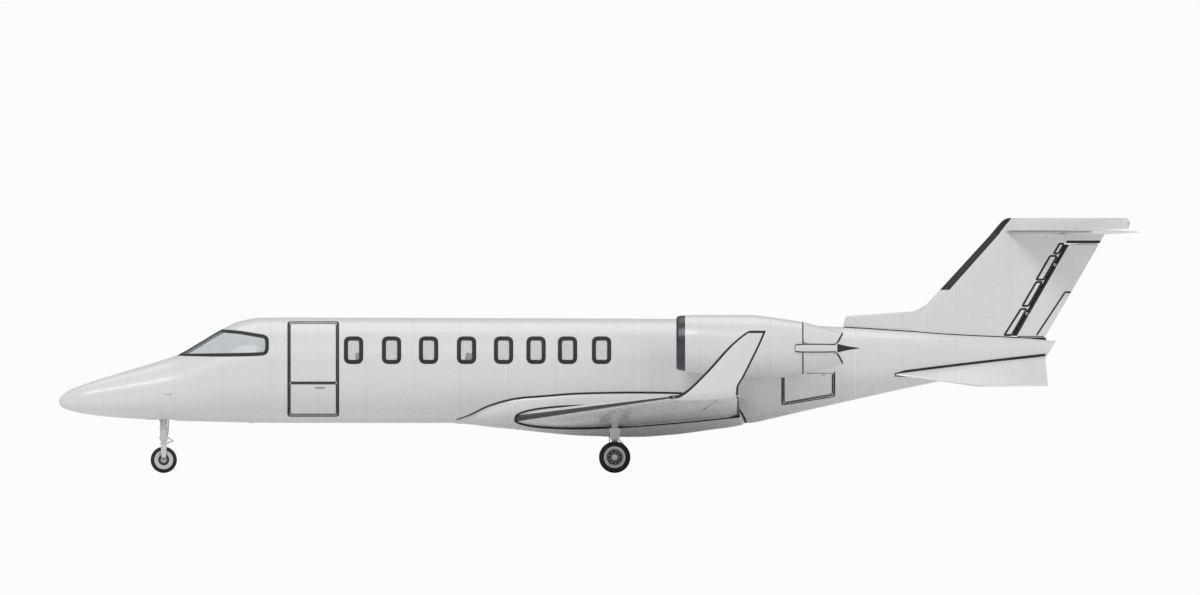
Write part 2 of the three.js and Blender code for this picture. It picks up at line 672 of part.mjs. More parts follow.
function elevatorHinge(y) {
  const [, lead, trail, thickness] = rowAt(STABILIZER, y);
  const f = 1 - ELEVATOR.chord;
  return { x: mix(lead, trail, f), half: sectionHalf(f) * thickness + TRAIL_HALF * f, trail };
}
const elevatorEnds = [ELEVATOR.inner, ELEVATOR.outer].map((y) => [elevatorHinge(y).x, y, STABILIZER_Z]);
const elevatorAxis = vector(elevatorEnds[1]).sub(vector(elevatorEnds[0])).normalize();
const elevatorForward = new THREE.Vector3(-elevatorAxis.y, elevatorAxis.x, 0);

function elevatorRing(y) {
  const { half, trail } = elevatorHinge(y);
  const x = mix(elevatorEnds[0][0], elevatorEnds[1][0], (y - ELEVATOR.inner) / (ELEVATOR.outer - ELEVATOR.inner));
  const arc = [90, 126, 162, 198, 234, 270].map((turn) => [
    x + half * Math.cos(radians(turn)) / elevatorAxis.y, y, STABILIZER_Z + half * Math.sin(radians(turn)),
  ]);
  return [[trail, y, STABILIZER_Z - TRAIL_HALF], [trail, y, STABILIZER_Z + TRAIL_HALF], ...arc];
}

const elevatorEdge = (y) => {
  const { x, half } = elevatorHinge(y);
  return x - half / elevatorAxis.y - RUN;
};
const elevatorBay = planPrism([
  [elevatorEdge(ELEVATOR.inner - 16), ELEVATOR.inner - 16], [9200, ELEVATOR.inner - 16],
  [9200, ELEVATOR.outer + END_GAP], [elevatorEdge(ELEVATOR.outer + END_GAP), ELEVATOR.outer + END_GAP],
], 3700, 4300);
let stabilizer = cut(
  loft(stabilizerRows.map((row) => stabilizerRing(row))),
  elevatorBay,
  toSide(elevatorBay, -1),
);
let elevator = loft([ELEVATOR.inner, ELEVATOR.outer].map(elevatorRing));
const elevators = [1, -1].map((side) => {
  let piece = toSide(elevator, side);
  ELEVATOR.hinges.forEach((y) => {
    const flip = ([px, py, pz]) => [px, py * side, pz];
    const at = along(elevatorEnds[0], elevatorAxis.toArray(), (y - ELEVATOR.inner) / elevatorAxis.y);
    const half = elevatorHinge(y).half;
    [stabilizer, piece] = pinHinge(stabilizer, piece, {
      at: flip(at), axis: flip(elevatorAxis.toArray()), forward: flip(elevatorForward.toArray()),
      reach: half + RUN + 30, eye: Math.min(14, half - 4), pin: 5,
    });
  });
  return piece;
});

// Fin, dorsal ridge and rudder
const finRing = ([z, lead, trail, thickness]) => sectionLoop(thickness).map(([f, h]) => [mix(lead, trail, f), h, z]);
const dorsalRidge = loft(DORSAL.map(([x, crest, foot, top]) => {
  const base = rowAt(FUSELAGE, x)[1] - 120;
  return [[x, -foot, base], [x, -top, crest - top * 0.5], [x, -top * 0.45, crest], [x, top * 0.45, crest], [x, top, crest - top * 0.5], [x, foot, base]];
}));
const rudderAxis = new THREE.Vector3(RUDDER.head[0] - RUDDER.foot[0], 0, RUDDER.head[1] - RUDDER.foot[1]).normalize();
const rudderForward = new THREE.Vector3(-rudderAxis.z, 0, rudderAxis.x);
const rudderAt = (z) => {
  const t = (z - RUDDER.foot[1]) / (RUDDER.head[1] - RUDDER.foot[1]);
  const x = mix(RUDDER.foot[0], RUDDER.head[0], t);
  const [, lead, trail, thickness] = rowAt(FIN, z);
  const f = (x - lead) / (trail - lead);
  return { x, half: sectionHalf(f) * thickness + TRAIL_HALF * f, trail: mix(RUDDER.trailFoot[0], RUDDER.trailHead[0], t) };
};
function rudderRing(z) {
  const { x, half, trail } = rudderAt(z);
  const arc = [90, 126, 162, 198, 234, 270].map((turn) => [
    x + half * Math.cos(radians(turn)) / rudderAxis.z, half * Math.sin(radians(turn)), z,
  ]);
  return [[trail, -TRAIL_HALF, z], [trail, TRAIL_HALF, z], ...arc];
}
const rudderEdge = (z) => {
  const { x, half } = rudderAt(z);
  return [x - (half + RUN) / rudderAxis.z, z];
};
const rudderBay = sidePrism([
  rudderEdge(RUDDER.foot[1] - 200), [8600, RUDDER.foot[1] - 200],
  [8600, RUDDER.head[1] + RUDDER_HEAD_GAP], rudderEdge(RUDDER.head[1] + RUDDER_HEAD_GAP),
], -300, 300);
let fin = cut(join(loft(FIN.map(finRing)), dorsalRidge), hullKeepOut, stabilizerKeepOut, rudderBay);
let rudder = loft([RUDDER.foot[1], RUDDER.head[1]].map(rudderRing));
RUDDER.hinges.forEach((z) => {
  const { x, half } = rudderAt(z);
  [fin, rudder] = pinHinge(fin, rudder, {
    at: [x, 0, z], axis: rudderAxis.toArray(), forward: rudderForward.toArray(), reach: half + RUN + 30,
  });
});
const finCap = cut(
  sidePrism(FIN_CAP, -FIN_CAP_HALF, FIN_CAP_HALF, 24),
  stabilizerKeepOut,
  loft(FIN.map(([z, lead, trail, thickness]) => finRing([z, lead - SEAM, trail, thickness + 2 * SEAM]))),
);

// Splayed fins under the tail
function ventralFin() {
  const corners = [...VENTRAL_ROOT, VENTRAL_TIP[1], VENTRAL_TIP[0]].map(vector);
  const inward = vector([0, -180, 150]);
  corners[0].add(inward);
  corners[1].add(vector([0, -80, 60]));
  const normal = corners[1].clone().sub(corners[0]).cross(corners[2].clone().sub(corners[0])).normalize();
  const ring = (offset) => corners.map((corner) => corner.clone().addScaledVector(normal, offset).toArray());
  return cut(loft([ring(-VENTRAL_THICKNESS / 2), ring(VENTRAL_THICKNESS / 2)]), hullKeepOut);
}

// Nacelles, pylons, fans, cores and reverser doors, for the right side
const DUCT_SIDES = 18;
const circle = (x, y, z, height, width = height) => Array.from({ length: DUCT_SIDES }, (_, i) => {
  const turn = 2 * Math.PI * i / DUCT_SIDES;
  return [x, y + width * Math.sin(turn), z + height * Math.cos(turn)];
});
const nacelleBody = (grow) => loft(NACELLE.map(([x, top, bottom]) => (
  circle(x, NACELLE_Y, (top + bottom) / 2, (top - bottom) / 2 + grow)
)));
const ductBody = loft(DUCT.map(([x, z, radius]) => circle(x, NACELLE_Y, z, radius)));
const nozzleRows = rowsBetween(NOZZLE, NOZZLE[0][0], NOZZLE[1][0]);
const nozzleShell = cut(
  loft(nozzleRows.map(([x, z, r]) => circle(x, NACELLE_Y, z, r))),
  loft([rowAt(NOZZLE, NOZZLE[0][0] - 10), rowAt(NOZZLE, NOZZLE[1][0] + 10)]
    .map(([x, z, r]) => circle(x, NACELLE_Y, z, r - NOZZLE_WALL))),
);
const mouth = NOZZLE[1][0];
const mouthNotch = [[MOUTH_NOTCH, PIVOT.z - 20], [mouth + 40, PIVOT.z - 290], [mouth + 40, PIVOT.z + 290], [MOUTH_NOTCH, PIVOT.z + 20]];

// Beams at the nozzle's sides carry the doors' pins, and end in a point
const BEAM = [
  // x, half height, inner offset, outer offset from the nacelle's centre
  [3190, 20, 418, 440],
  [3230, 62, 400, 462],
  [3340, BEAM_HALF, 386, 452],
  [3560, BEAM_HALF, 322, 398],
  [PIVOT.x + 20, 70, 272, 326],
  [4030, 40, 280, 318],
  [4266, 4, 296, 304],
];
function pivotBeam(side) {
  const body = loft(BEAM.map(([x, half, inner, outer]) => {
    const [a, b] = [NACELLE_Y + side * inner, NACELLE_Y + side * outer];
    return [[x, a, PIVOT.z - half], [x, b, PIVOT.z - half * 0.6], [x, b, PIVOT.z + half * 0.6], [x, a, PIVOT.z + half]];
  }));
  const pins = [1, -1].map((up) => {
    const z = PIVOT.z + up * PIVOT.offset;
    return rod([PIVOT.x, NACELLE_Y + side * 286, z], [PIVOT.x, NACELLE_Y + side * 214, z], PIVOT.pin, PIVOT.sides);
  });
  return join(body, ...pins);
}

// A lug inside each door edge reaches down to the pin
function doorLug(side, up) {
  const [near, far] = [NACELLE_Y + side * 222, NACELLE_Y + side * (222 + PIVOT.lug)];
  const [y0, y1] = [Math.min(near, far), Math.max(near, far)];
  const z = PIVOT.z + up * PIVOT.offset;
  const eye = rod([PIVOT.x, y0, z], [PIVOT.x, y1, z], PIVOT.eye, PIVOT.sides);
  const arm = sidePrism([
    [PIVOT.x - 24, z], [PIVOT.x + 20, z], [PIVOT.x - 60, PIVOT.z + up * 190], [PIVOT.x - 130, PIVOT.z + up * 190],
  ], y0, y1);
  return join(eye, arm);
}

function reverserDoor(up) {
  const half = up > 0 ? box(3300, 4100, 900, 2300, PIVOT.z + BEAM_HALF + 6, 2700) : box(3300, 4100, 900, 2300, 1400, PIVOT.z - BEAM_HALF - 6);
  const shell = cut(nozzleShell.intersect(half), sidePrism(mouthNotch, 900, 2300));
  const z = PIVOT.z + up * PIVOT.offset;
  const hole = bore([PIVOT.x, 900, z], [PIVOT.x, 2300, z], PIVOT.pin, PIVOT.sides);
  const lugs = [1, -1].map((side) => cut(doorLug(side, up), hole));
  const inside = loft([rowAt(NOZZLE, 3340), rowAt(NOZZLE, 4010)].map(([x, zc, r]) => circle(x, NACELLE_Y, zc, r - 4)));
  return join(shell, ...lugs.map((lug) => lug.intersect(inside)));
}

const nacelle = join(cut(nacelleBody(0), ductBody), cut(join(pivotBeam(1), pivotBeam(-1)), ductBody));
const pylonRing = ([y, lead, trail, thickness]) => sectionLoop(thickness).map(([f, h]) => [mix(lead, trail, f), y, PYLON_Z + h]);
const pylon = cut(loft(PYLON.map(pylonRing)), hullKeepOut, nacelleBody(SEAM));

function fanRotor() {
  const centre = [FAN.x, NACELLE_Y, PYLON_Z];
  const socket = roundOver(FAN.shaft + PIN_FIT, FAN.sides);
  const hub = turned([
    [0, -230], [50, -190], [85, -130], [FAN.hub, -50], [FAN.hub, 140], [socket, 140], [socket, -20], [0, -20],
  ], centre, X_AXIS, FAN.sides);
  const corner = (r, chord, pitch, thick) => {
    const [c, s] = [Math.cos(radians(pitch)), Math.sin(radians(pitch))];
    return [[-chord, -thick], [chord, -thick], [chord, thick], [-chord, thick]].map(([u, v]) => [u * c - v * s, u * s + v * c, r]);
  };
  const blade = loft([corner(FAN.hub - 30, 55, 30, 6), corner(FAN.tip, 72, 58, 4)]);
  const blades = Array.from({ length: FAN.blades }, (_, i) => (
    blade.rotate([360 * i / FAN.blades, 0, 0]).translate([FAN.x + 30, NACELLE_Y, PYLON_Z])
  ));
  return join(hub, ...blades);
}

function engineCore() {
  const centre = [0, NACELLE_Y, PYLON_Z];
  const body = turned([
    [0, FAN.x], [FAN.shaft, FAN.x], [FAN.shaft, CORE.front], [150, CORE.front], [CORE.radius, CORE.front + 180],
    [CORE.radius, CORE.rear - 160], [150, CORE.rear], [0, CORE.plugEnd],
  ], centre, X_AXIS, FAN.sides);
  const strut = box(2300, 2420, -12, 12, CORE.radius - 20, 420);
  const struts = Array.from({ length: CORE.struts }, (_, i) => (
    strut.rotate([360 * (i + 0.5) / CORE.struts, 0, 0]).translate([0, NACELLE_Y, PYLON_Z])
  ));
  const duct = loft(DUCT.map(([x, z, radius]) => circle(x, NACELLE_Y, z, radius - SEAM)));
  return join(body, ...struts.map((one) => one.intersect(duct)));
}

// Wheels: profiles of radius against distance across
const WHEEL_SIDES = 20;
function tyre(wheel, y) {
  const [r, w, b] = [wheel.radius, wheel.width / 2, wheel.rim + SEAM];
  const profile = [
    [b, -w * 0.92], [r - 34, -w], [r, -w * 0.4], [r, w * 0.4], [r - 34, w], [b, w * 0.92], [b, -w * 0.92],
  ];
  return turned(profile, [wheel.x, y, r], [0, 1, 0], WHEEL_SIDES);
}

// A rim on its half of the axle; inward is the way to the strut
function rim(wheel, y, outward) {
  const w = wheel.width / 2;
  const profile = [
    [0, -w + 8], [wheel.rim, -w + 10], [wheel.rim, w - 10], [wheel.rim - 16, w - 10],
    [wheel.rim - 24, w - 46], [0, w - 14],
  ];
  return turned(profile.map(([r, d]) => [r, d * outward]), [wheel.x, y, wheel.radius], [0, 1, 0], WHEEL_SIDES);
}

const mainAxleHalf = MAIN_WHEEL.spacing;
const mainWheelPair = join(
  rim(MAIN_WHEEL, MAIN_WHEEL.y - MAIN_WHEEL.spacing, -1),
  rim(MAIN_WHEEL, MAIN_WHEEL.y + MAIN_WHEEL.spacing, 1),
  rod([MAIN_WHEEL.x, MAIN_WHEEL.y - mainAxleHalf, MAIN_WHEEL.radius], [MAIN_WHEEL.x, MAIN_WHEEL.y + mainAxleHalf, MAIN_WHEEL.radius], MAIN_WHEEL.axle, MAIN_WHEEL.axleSides),
);

// Main leg: strut with a bored foot, torque links and a narrow door outboard
function mainLeg() {
  const { x, y, radius } = MAIN_WHEEL;
  const strut = rod([x, y, radius - 60], [x, y, MAIN_STRUT.head - SEAM], MAIN_STRUT.radius, 16);
  const foot = rod([x, y - 58, radius], [x, y + 58, radius], 62, 16);
  const hole = bore([x, y - 80, radius], [x, y + 80, radius], MAIN_WHEEL.axle, MAIN_WHEEL.axleSides);
  const links = sidePrism([[x + 40, 700], [x + 150, 610], [x + 40, 560], [x + 40, 585], [x + 118, 612], [x + 40, 672]], y - 22, y + 22);
  const arm = box(x - 30, x + 30, y + 40, y + 84, 600, 660);
  const door = box(x - 90, x + 90, y + 80, y + 94, 545, 735);
  return cut(join(strut, foot, links, arm, door), hole);
}

const { x: noseX, radius: noseR } = NOSE_WHEEL;
function noseLeg() {
  const strut = rod([noseX, 0, NOSE_STRUT.foot], [noseX, 0, NOSE_BAY.top - 60], NOSE_STRUT.radius, 16);
  const trunnion = rod([noseX, -NOSE_BAY.half + SEAM, 1130], [noseX, NOSE_BAY.half - SEAM, 1130], 34, 10);
  const hole = bore([noseX, 0, NOSE_STRUT.foot - 10], [noseX, 0, 900], NOSE_STRUT.bore, NOSE_STRUT.boreSides);
  return cut(join(strut, trunnion), hole);
}

function noseFork() {
  const stem = rod([noseX, 0, 470], [noseX, 0, 890], NOSE_STRUT.bore, NOSE_STRUT.boreSides);
  const crown = box(noseX - 52, noseX + 52, -118, 118, 450, 500);
  const cheeks = [1, -1].map((side) => join(
    sidePrism([[noseX - 34, noseR], [noseX + 34, noseR], [noseX + 52, 460], [noseX - 52, 460]], ...(side > 0 ? [90, 118] : [-118, -90])),
    rod([noseX, side * 90, noseR], [noseX, side * 118, noseR], 40, 12),
  ));
  const hole = bore([noseX, -200, noseR], [noseX, 200, noseR], NOSE_WHEEL.axle, NOSE_WHEEL.axleSides);
  return cut(join(stem, crown, ...cheeks), hole);
}

const noseRim = join(
  rim({ ...NOSE_WHEEL }, 0, 1),
  rod([noseX, -126, noseR], [noseX, 126, noseR], NOSE_WHEEL.axle, NOSE_WHEEL.axleSides),
);

// Cabin and cockpit inside
const insideHull = (from, to) => hull(from, to, CABIN_WALL + SEAM);
const FLOOR = { from: -6780, to: 540, under: 985, top: 1020 };
const doorSweep = box(DOOR.front - 20, DOOR.rear + 20, -WIDE, -245, 900, 1200);
const cabinFloor = cut(
  insideHull(FLOOR.from, FLOOR.to).intersect(box(FLOOR.from, FLOOR.to, -WIDE, WIDE, FLOOR.under, FLOOR.top)),
  doorSweep,
);
const instrumentPanel = insideHull(-6760, -6560).intersect(sidePrism([
  [-6760, 1780], [-6600, 1420], [-6560, 1420], [-6590, 1900], [-6700, 1870],
], -WIDE, WIDE));

function seat(x, y, facing, width) {
  const half = width / 2;
  const base = FLOOR.top + SEAM;
  const [front, back] = [x + facing * -240, x + facing * 240];
  const between = (a, b) => [Math.min(a, b), Math.max(a, b)];
  return join(
    box(...between(front, back), y - half, y + half, base + 250, base + 400),
    box(x - 150, x + 150, y - 120, y + 120, base, base + 260),
    sidePrism([
      [back - facing * 60, base + 260], [back + facing * 60, base + 260], [back + facing * 190, base + 960], [back + facing * 90, base + 980],
    ], y - half, y + half),
  );
}
const CABIN_SEATS = [[-3640, -1], [-2470, 1], [-1760, -1], [-560, 1]]; // x, facing: 1 looks forward
const seatRow = (side) => join(
  ...CABIN_SEATS.map(([x, facing]) => seat(x, side * 395, facing, 440)),
  box(CABIN_SEATS[0][0] - 100, CABIN_SEATS[3][0] + 100, side * 395 - 30, side * 395 + 30, FLOOR.top + SEAM, FLOOR.top + 24),
).intersect(insideHull(-5000, 500));
const PILOT_SEAT = { x: -5940, y: 330, width: 430 };
const pilotSeat = seat(PILOT_SEAT.x, PILOT_SEAT.y, 1, PILOT_SEAT.width).intersect(insideHull(-6600, -5300));

// The aeroplane
const aeroplane = new THREE.Group();
function place(name, solid, material) {
  const mesh = new THREE.Mesh(geometryOf(solid), materials[material]);
  mesh.name = name;
  aeroplane.add(mesh);
}

place('radome', hull(-8864, RADOME_END - SEAM), 'paint');
place('forward_fuselage', forwardFuselage, 'paint');
place('cabin_shell', cabinShell, 'paint');
place('aft_fuselage', aftFuselage, 'paint');
place('tail_cone', tailCone, 'paint');
place('wing_body_fairing', fairing, 'paint');
place('door_upper', doorUpper, 'paint');
place('door_lower', doorLower, 'paint');
place('baggage_door', baggageDoor, 'paint');
place('cabin_floor', cabinFloor, 'lining');
place('instrument_panel', instrumentPanel, 'trim');
place('fin', fin, 'paint');
place('fin_cap', finCap, 'paint');
place('rudder', rudder, 'paint');
place('stabilizer', stabilizer, 'paint');
place('nose_leg', noseLeg(), 'metal');
place('nose_fork', noseFork(), 'metal');
place('nose_rim', noseRim, 'metal');
place('nose_tyre', tyre(NOSE_WHEEL, 0), 'rubber');

const paneRow = windowRow();
const ventral = ventralFin();
const [fan, core] = [fanRotor(), engineCore()];
const [reverserUpper, reverserLower] = [reverserDoor(1), reverserDoor(-1)];
const leg = mainLeg();
const [outerTyre, innerTyre] = [1, -1].map((end) => tyre(MAIN_WHEEL, MAIN_WHEEL.y + end * MAIN_WHEEL.spacing));
[['right', 1], ['left', -1]].forEach(([label, side]) => {
  const both = [
    ['windshield', windshield, 'glass'],
    ['window_row', paneRow, 'glass'],
    ['wing', wing, 'paint'],
    ['winglet', winglet, 'paint'],
    ['aileron', aileron, 'paint'],
    ['flap', flap, 'paint'],
    ['ventral_fin', ventral, 'paint'],
    ['nacelle', nacelle, 'paint'],
    ['pylon', pylon, 'paint'],
    ['fan', fan, 'steel'],
    ['engine_core', core, 'steel'],
    ['reverser_upper', reverserUpper, 'paint'],
    ['reverser_lower', reverserLower, 'paint'],
    ['main_leg', leg, 'metal'],
    ['main_wheel_pair', mainWheelPair, 'metal'],
    ['main_tyre_outer', outerTyre, 'rubber'],
    ['main_tyre_inner', innerTyre, 'rubber'],
  ];
  both.forEach(([name, solid, material]) => place(`${name}_${label}`, toSide(solid, side), material));
  place(`elevator_${label}`, elevators[side > 0 ? 0 : 1], 'paint');
  place(`pilot_seat_${label}`, toSide(pilotSeat, side), 'leather');
  place(`cabin_seats_${label}`, seatRow(side), 'leather');
});

export default aeroplane;
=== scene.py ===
"""Looks of a light business jet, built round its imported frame.

Metres. The nose points to -X, the left side to -Y, +Z is up and the ground is z = 0.
"""
import math

import bmesh
import bpy
import numpy as np
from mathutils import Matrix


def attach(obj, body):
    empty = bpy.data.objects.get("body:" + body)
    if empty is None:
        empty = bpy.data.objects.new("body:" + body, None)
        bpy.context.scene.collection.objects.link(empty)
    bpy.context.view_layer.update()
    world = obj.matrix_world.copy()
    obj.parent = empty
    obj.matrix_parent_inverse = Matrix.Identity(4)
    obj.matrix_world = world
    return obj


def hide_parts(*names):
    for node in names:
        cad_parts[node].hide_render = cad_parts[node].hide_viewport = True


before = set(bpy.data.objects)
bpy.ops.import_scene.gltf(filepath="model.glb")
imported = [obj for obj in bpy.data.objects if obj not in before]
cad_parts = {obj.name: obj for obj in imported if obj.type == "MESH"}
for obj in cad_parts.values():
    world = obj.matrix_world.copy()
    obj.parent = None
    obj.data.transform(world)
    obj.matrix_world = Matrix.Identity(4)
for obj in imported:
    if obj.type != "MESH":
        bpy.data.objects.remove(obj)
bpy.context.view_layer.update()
scene = bpy.context.scene

# Camera, light and floor
PICTURE_WIDTH = 1200  # pixels
PIXEL = 0.0164  # metres a pixel, from the overall length
PICTURE_MIDDLE = (0.0082, 2.878)  # x and z in the middle of the picture
CAMERA_AWAY, CAMERA_REACH = 60, 400


def added(name, data):
    """An object for some data, put in the scene."""
    made = bpy.data.objects.new(name, data)
    scene.collection.objects.link(made)
    return made


def side_camera():
    """A parallel view straight across the aeroplane from its left, as a side elevation is drawn."""
    data = bpy.data.cameras.new("side_camera")
    data.type = "ORTHO"
    data.ortho_scale = PICTURE_WIDTH * PIXEL
    data.clip_end = CAMERA_REACH
    camera = added("side_camera", data)
    camera.location = (PICTURE_MIDDLE[0], -CAMERA_AWAY, PICTURE_MIDDLE[1])
    camera.rotation_euler = (math.pi / 2, 0, 0)
    scene.camera = camera


def sun(name, direction, strength, softness):
    """A soft lamp far away, shining along a direction."""
    data = bpy.data.lights.new(name, "SUN")
    data.energy = strength
    data.angle = math.radians(softness)
    x, y, z = direction
    added(name, data).rotation_euler = (math.atan2(math.hypot(x, y), -z), 0, math.atan2(x, -y) + math.pi)


# Material kit


def fill(tree, node, values):
    """Links or sets inputs of a node, each found by its number or its name."""
    for key, value in values.items():
        target = node.inputs[key.replace("_", " ") if isinstance(key, str) else key]
        if isinstance(value, bpy.types.NodeSocket):
            tree.links.new(value, target)
        else:
            target.default_value = value
    return node


def node(tree, kind, values=None, **settings):
    """A new shader node with its settings and inputs."""
    made = tree.nodes.new("ShaderNode" + kind)
    for name, setting in settings.items():
        setattr(made, name, setting)
    return fill(tree, made, values or {})


def maths(tree, operation, *values):
    return node(tree, "Math", dict(enumerate(values)), operation=operation).outputs[0]


def mixed(tree, factor, low, high):
    return node(tree, "Mix", {0: factor, 6: low, 7: high}, data_type="RGBA").outputs[2]


def noise(tree, place, scale, detail=3.0):
    values = {"Vector": place, "Scale": scale, "Detail": detail, "Roughness": 0.5}
    return node(tree, "TexNoise", values).outputs["Fac"]


def stretched(tree, place, scale):
    return node(tree, "Mapping", {"Vector": place, "Scale": scale}).outputs[0]


def ranged(tree, value, low, high, out_low=0.0, out_high=1.0):
    values = {"Value": value, "From Min": low, "From Max": high, "To Min": out_low, "To Max": out_high}
    return node(tree, "MapRange", values, interpolation_type="SMOOTHSTEP").outputs[0]


def scaled(tree, colour, factor):
    return node(tree, "VectorMath", {0: colour, "Scale": factor}, operation="SCALE").outputs[0]


def opaque(colour, share=1.0):
    """A colour with its alpha, darkened to a share."""
    return tuple(c * share for c in colour) + (1,)


def pale_world(shown, lit):
    """Plain pale surroundings: what the camera sees is brighter than what lights the aeroplane."""
    world = bpy.data.worlds.new("studio")
    world.use_nodes = True
    tree = world.node_tree
    backdrop = fill(tree, tree.nodes["Background"], {"Color": (0.93, 0.95, 0.98, 1), "Strength": lit})
    seen = node(tree, "Background", {"Color": (1, 1, 1, 1), "Strength": shown})
    by_camera = node(tree, "LightPath").outputs["Is Camera Ray"]
    choose = node(tree, "MixShader", {0: by_camera, 1: backdrop.outputs[0], 2: seen.outputs[0]})
    tree.links.new(choose.outputs[0], tree.nodes["World Output"].inputs["Surface"])
    scene.world = world


side_camera()
sun("key", (0.30, 0.62, -0.72), 0.95, 24)
sun("fill", (-0.55, 0.55, -0.25), 0.22, 40)
sun("top", (0.05, -0.35, -0.95), 0.45, 40)
pale_world(0.97, 0.42)
scene.view_settings.view_transform = "Standard"

FLOAT, COLOUR = "NodeSocketFloat", "NodeSocketColor"


def effect_group(name, numbers, colours, outputs):
    """An empty node group with named number and colour inputs and outputs, and its two end nodes."""
    group = bpy.data.node_groups.new(name, "ShaderNodeTree")
    group.interface.new_socket("Place", in_out="INPUT", socket_type="NodeSocketVector")
    for kind, inputs in ((FLOAT, numbers), (COLOUR, colours)):
        for label, value in inputs.items():
            group.interface.new_socket(label, in_out="INPUT", socket_type=kind).default_value = value
    for label, kind in outputs.items():
        group.interface.new_socket(label, in_out="OUTPUT", socket_type=kind)
    start, end = group.nodes.new("NodeGroupInput"), group.nodes.new("NodeGroupOutput")
    return group, start.outputs, end


def weathering_group():
    """Cloudy change of tone, fine ripple of the film, and dirt that grows towards the bottom."""
    group, given, end = effect_group(
        "weathering", {"Cloud size": 0.8, "Ripple": 60.0, "Dirt": 0.1, "Dirt top": 1.0, "Dirt foot": 0.5},
        {"Colour": (1, 1, 1, 1), "Dirt colour": (0.3, 0.28, 0.25, 1)},
        {"Colour": COLOUR, "Height": FLOAT, "Grime": FLOAT})

    def work(operation, *values):
        return maths(group, operation, *values)
    place, dirt_top = given["Place"], given["Dirt top"]
    cloud = noise(group, place, given["Cloud size"], 5)
    streaks = noise(group, stretched(group, place, (0.5, 4, 4)), 3, 6)
    height = node(group, "SeparateXYZ", {0: place}).outputs["Z"]
    depth = work("DIVIDE", work("SUBTRACT", dirt_top, height), work("SUBTRACT", dirt_top, given["Dirt foot"]))
    low = work("MULTIPLY", work("MAXIMUM", work("MINIMUM", depth, 1.0), 0.0), given["Dirt"])
    grime = work("MULTIPLY", low, ranged(group, streaks, 0.3, 0.75))
    toned = scaled(group, given["Colour"], ranged(group, cloud, 0.3, 0.7, 0.978, 1.0))
    fill(group, end, {"Colour": mixed(group, grime, toned, given["Dirt colour"]),
                      "Height": noise(group, place, given["Ripple"], 2.0), "Grime": grime})
    return group


def seam_group():
    """Joint lines every so far along one axis, with a row of flush rivets on each side of them."""
    group, given, end = effect_group(
        "seams", {"Spacing": 0.6, "Width": 0.004, "Rivet pitch": 0.04, "Rivet size": 0.003, "Offset": 0.0}, {},
        {"Line": FLOAT, "Rivet": FLOAT})

    def work(operation, *values):
        return maths(group, operation, *values)

    def from_middle(value, spacing):
        """Distance from the middle of each spacing."""
        share = work("FRACT", work("DIVIDE", value, spacing))
        return work("MULTIPLY", work("ABSOLUTE", work("SUBTRACT", share, 0.5)), spacing)
    parts = node(group, "SeparateXYZ", {0: given["Place"]}).outputs
    away = from_middle(work("ADD", parts["X"], given["Offset"]), given["Spacing"])
    beside = work("ABSOLUTE", work("SUBTRACT", away, 0.02))
    up = from_middle(parts["Z"], given["Rivet pitch"])
    far = work("SQRT", work("ADD", work("MULTIPLY", beside, beside), work("MULTIPLY", up, up)))
    fill(group, end, {"Line": work("LESS_THAN", away, given["Width"]),
                      "Rivet": work("LESS_THAN", far, given["Rivet size"])})
    return group


WEATHERING = weathering_group()
SEAMS = seam_group()


def new_material(name, colour, roughness, metallic=0.0, **values):
    """A material with its shader set up, and the tree, shader and object coordinates to add to."""
    material = bpy.data.materials.new(name)
    material.use_nodes = True
    material.diffuse_color = opaque(colour)
    tree = material.node_tree
    values.update(Base_Color=opaque(colour), Roughness=roughness, Metallic=metallic)
    shader = fill(tree, tree.nodes["Principled BSDF"], values)
    return material, tree, shader, node(tree, "TexCoord").outputs["Object"]


def bumped(tree, shader, height, distance, strength=1.0):
    bump = node(tree, "Bump", {"Strength": strength, "Distance": distance, "Height": height})
    tree.links.new(bump.outputs[0], shader.inputs["Normal"])


def use(tree, group, place, **values):
    return node(tree, "Group", {"Place": place, **values}, node_tree=group)


def paint(name, colour, seam_spacing, dirt=0.0, dirt_top=1.2, dirt_foot=0.6, along="X", offset=0.0):
    """Glossy aircraft paint: film ripple, faint joint lines with flush rivets, and grime low down."""
    material, tree, shader, place = new_material(name, colour, 0.28, Coat_Weight=0.35, Coat_Roughness=0.08)
    weather = use(tree, WEATHERING, place, Cloud_size=0.7, Ripple=90.0, Dirt=dirt, Dirt_top=dirt_top,
                  Dirt_foot=dirt_foot, Colour=opaque(colour)).outputs
    if along == "Y":
        quarter_turn = (0, 0, math.pi / 2)
        seam_place = node(tree, "Mapping", {"Vector": place, "Rotation": quarter_turn}).outputs[0]
    else:
        seam_place = place
    seams = use(tree, SEAMS, seam_place, Spacing=seam_spacing, Width=0.0022, Rivet_pitch=0.05, Rivet_size=0.004,
                Offset=offset).outputs
    spotted = maths(tree, "MAXIMUM", maths(tree, "MULTIPLY", seams["Line"], 0.30),
                    maths(tree, "MULTIPLY", seams["Rivet"], 0.10))
    rough = maths(tree, "ADD", ranged(tree, noise(tree, place, 6.0), 0.3, 0.7, 0.24, 0.34), weather["Grime"])
    fill(tree, shader, {"Base Color": mixed(tree, spotted, weather["Colour"], (0.16, 0.17, 0.18, 1)),
                        "Roughness": rough})
    sunk = maths(tree, "MULTIPLY", maths(tree, "MAXIMUM", seams["Line"], seams["Rivet"]), -1.0)
    bumped(tree, shader, maths(tree, "ADD", maths(tree, "MULTIPLY", weather["Height"], 0.008), sunk), 0.0006, 0.35)
    return material


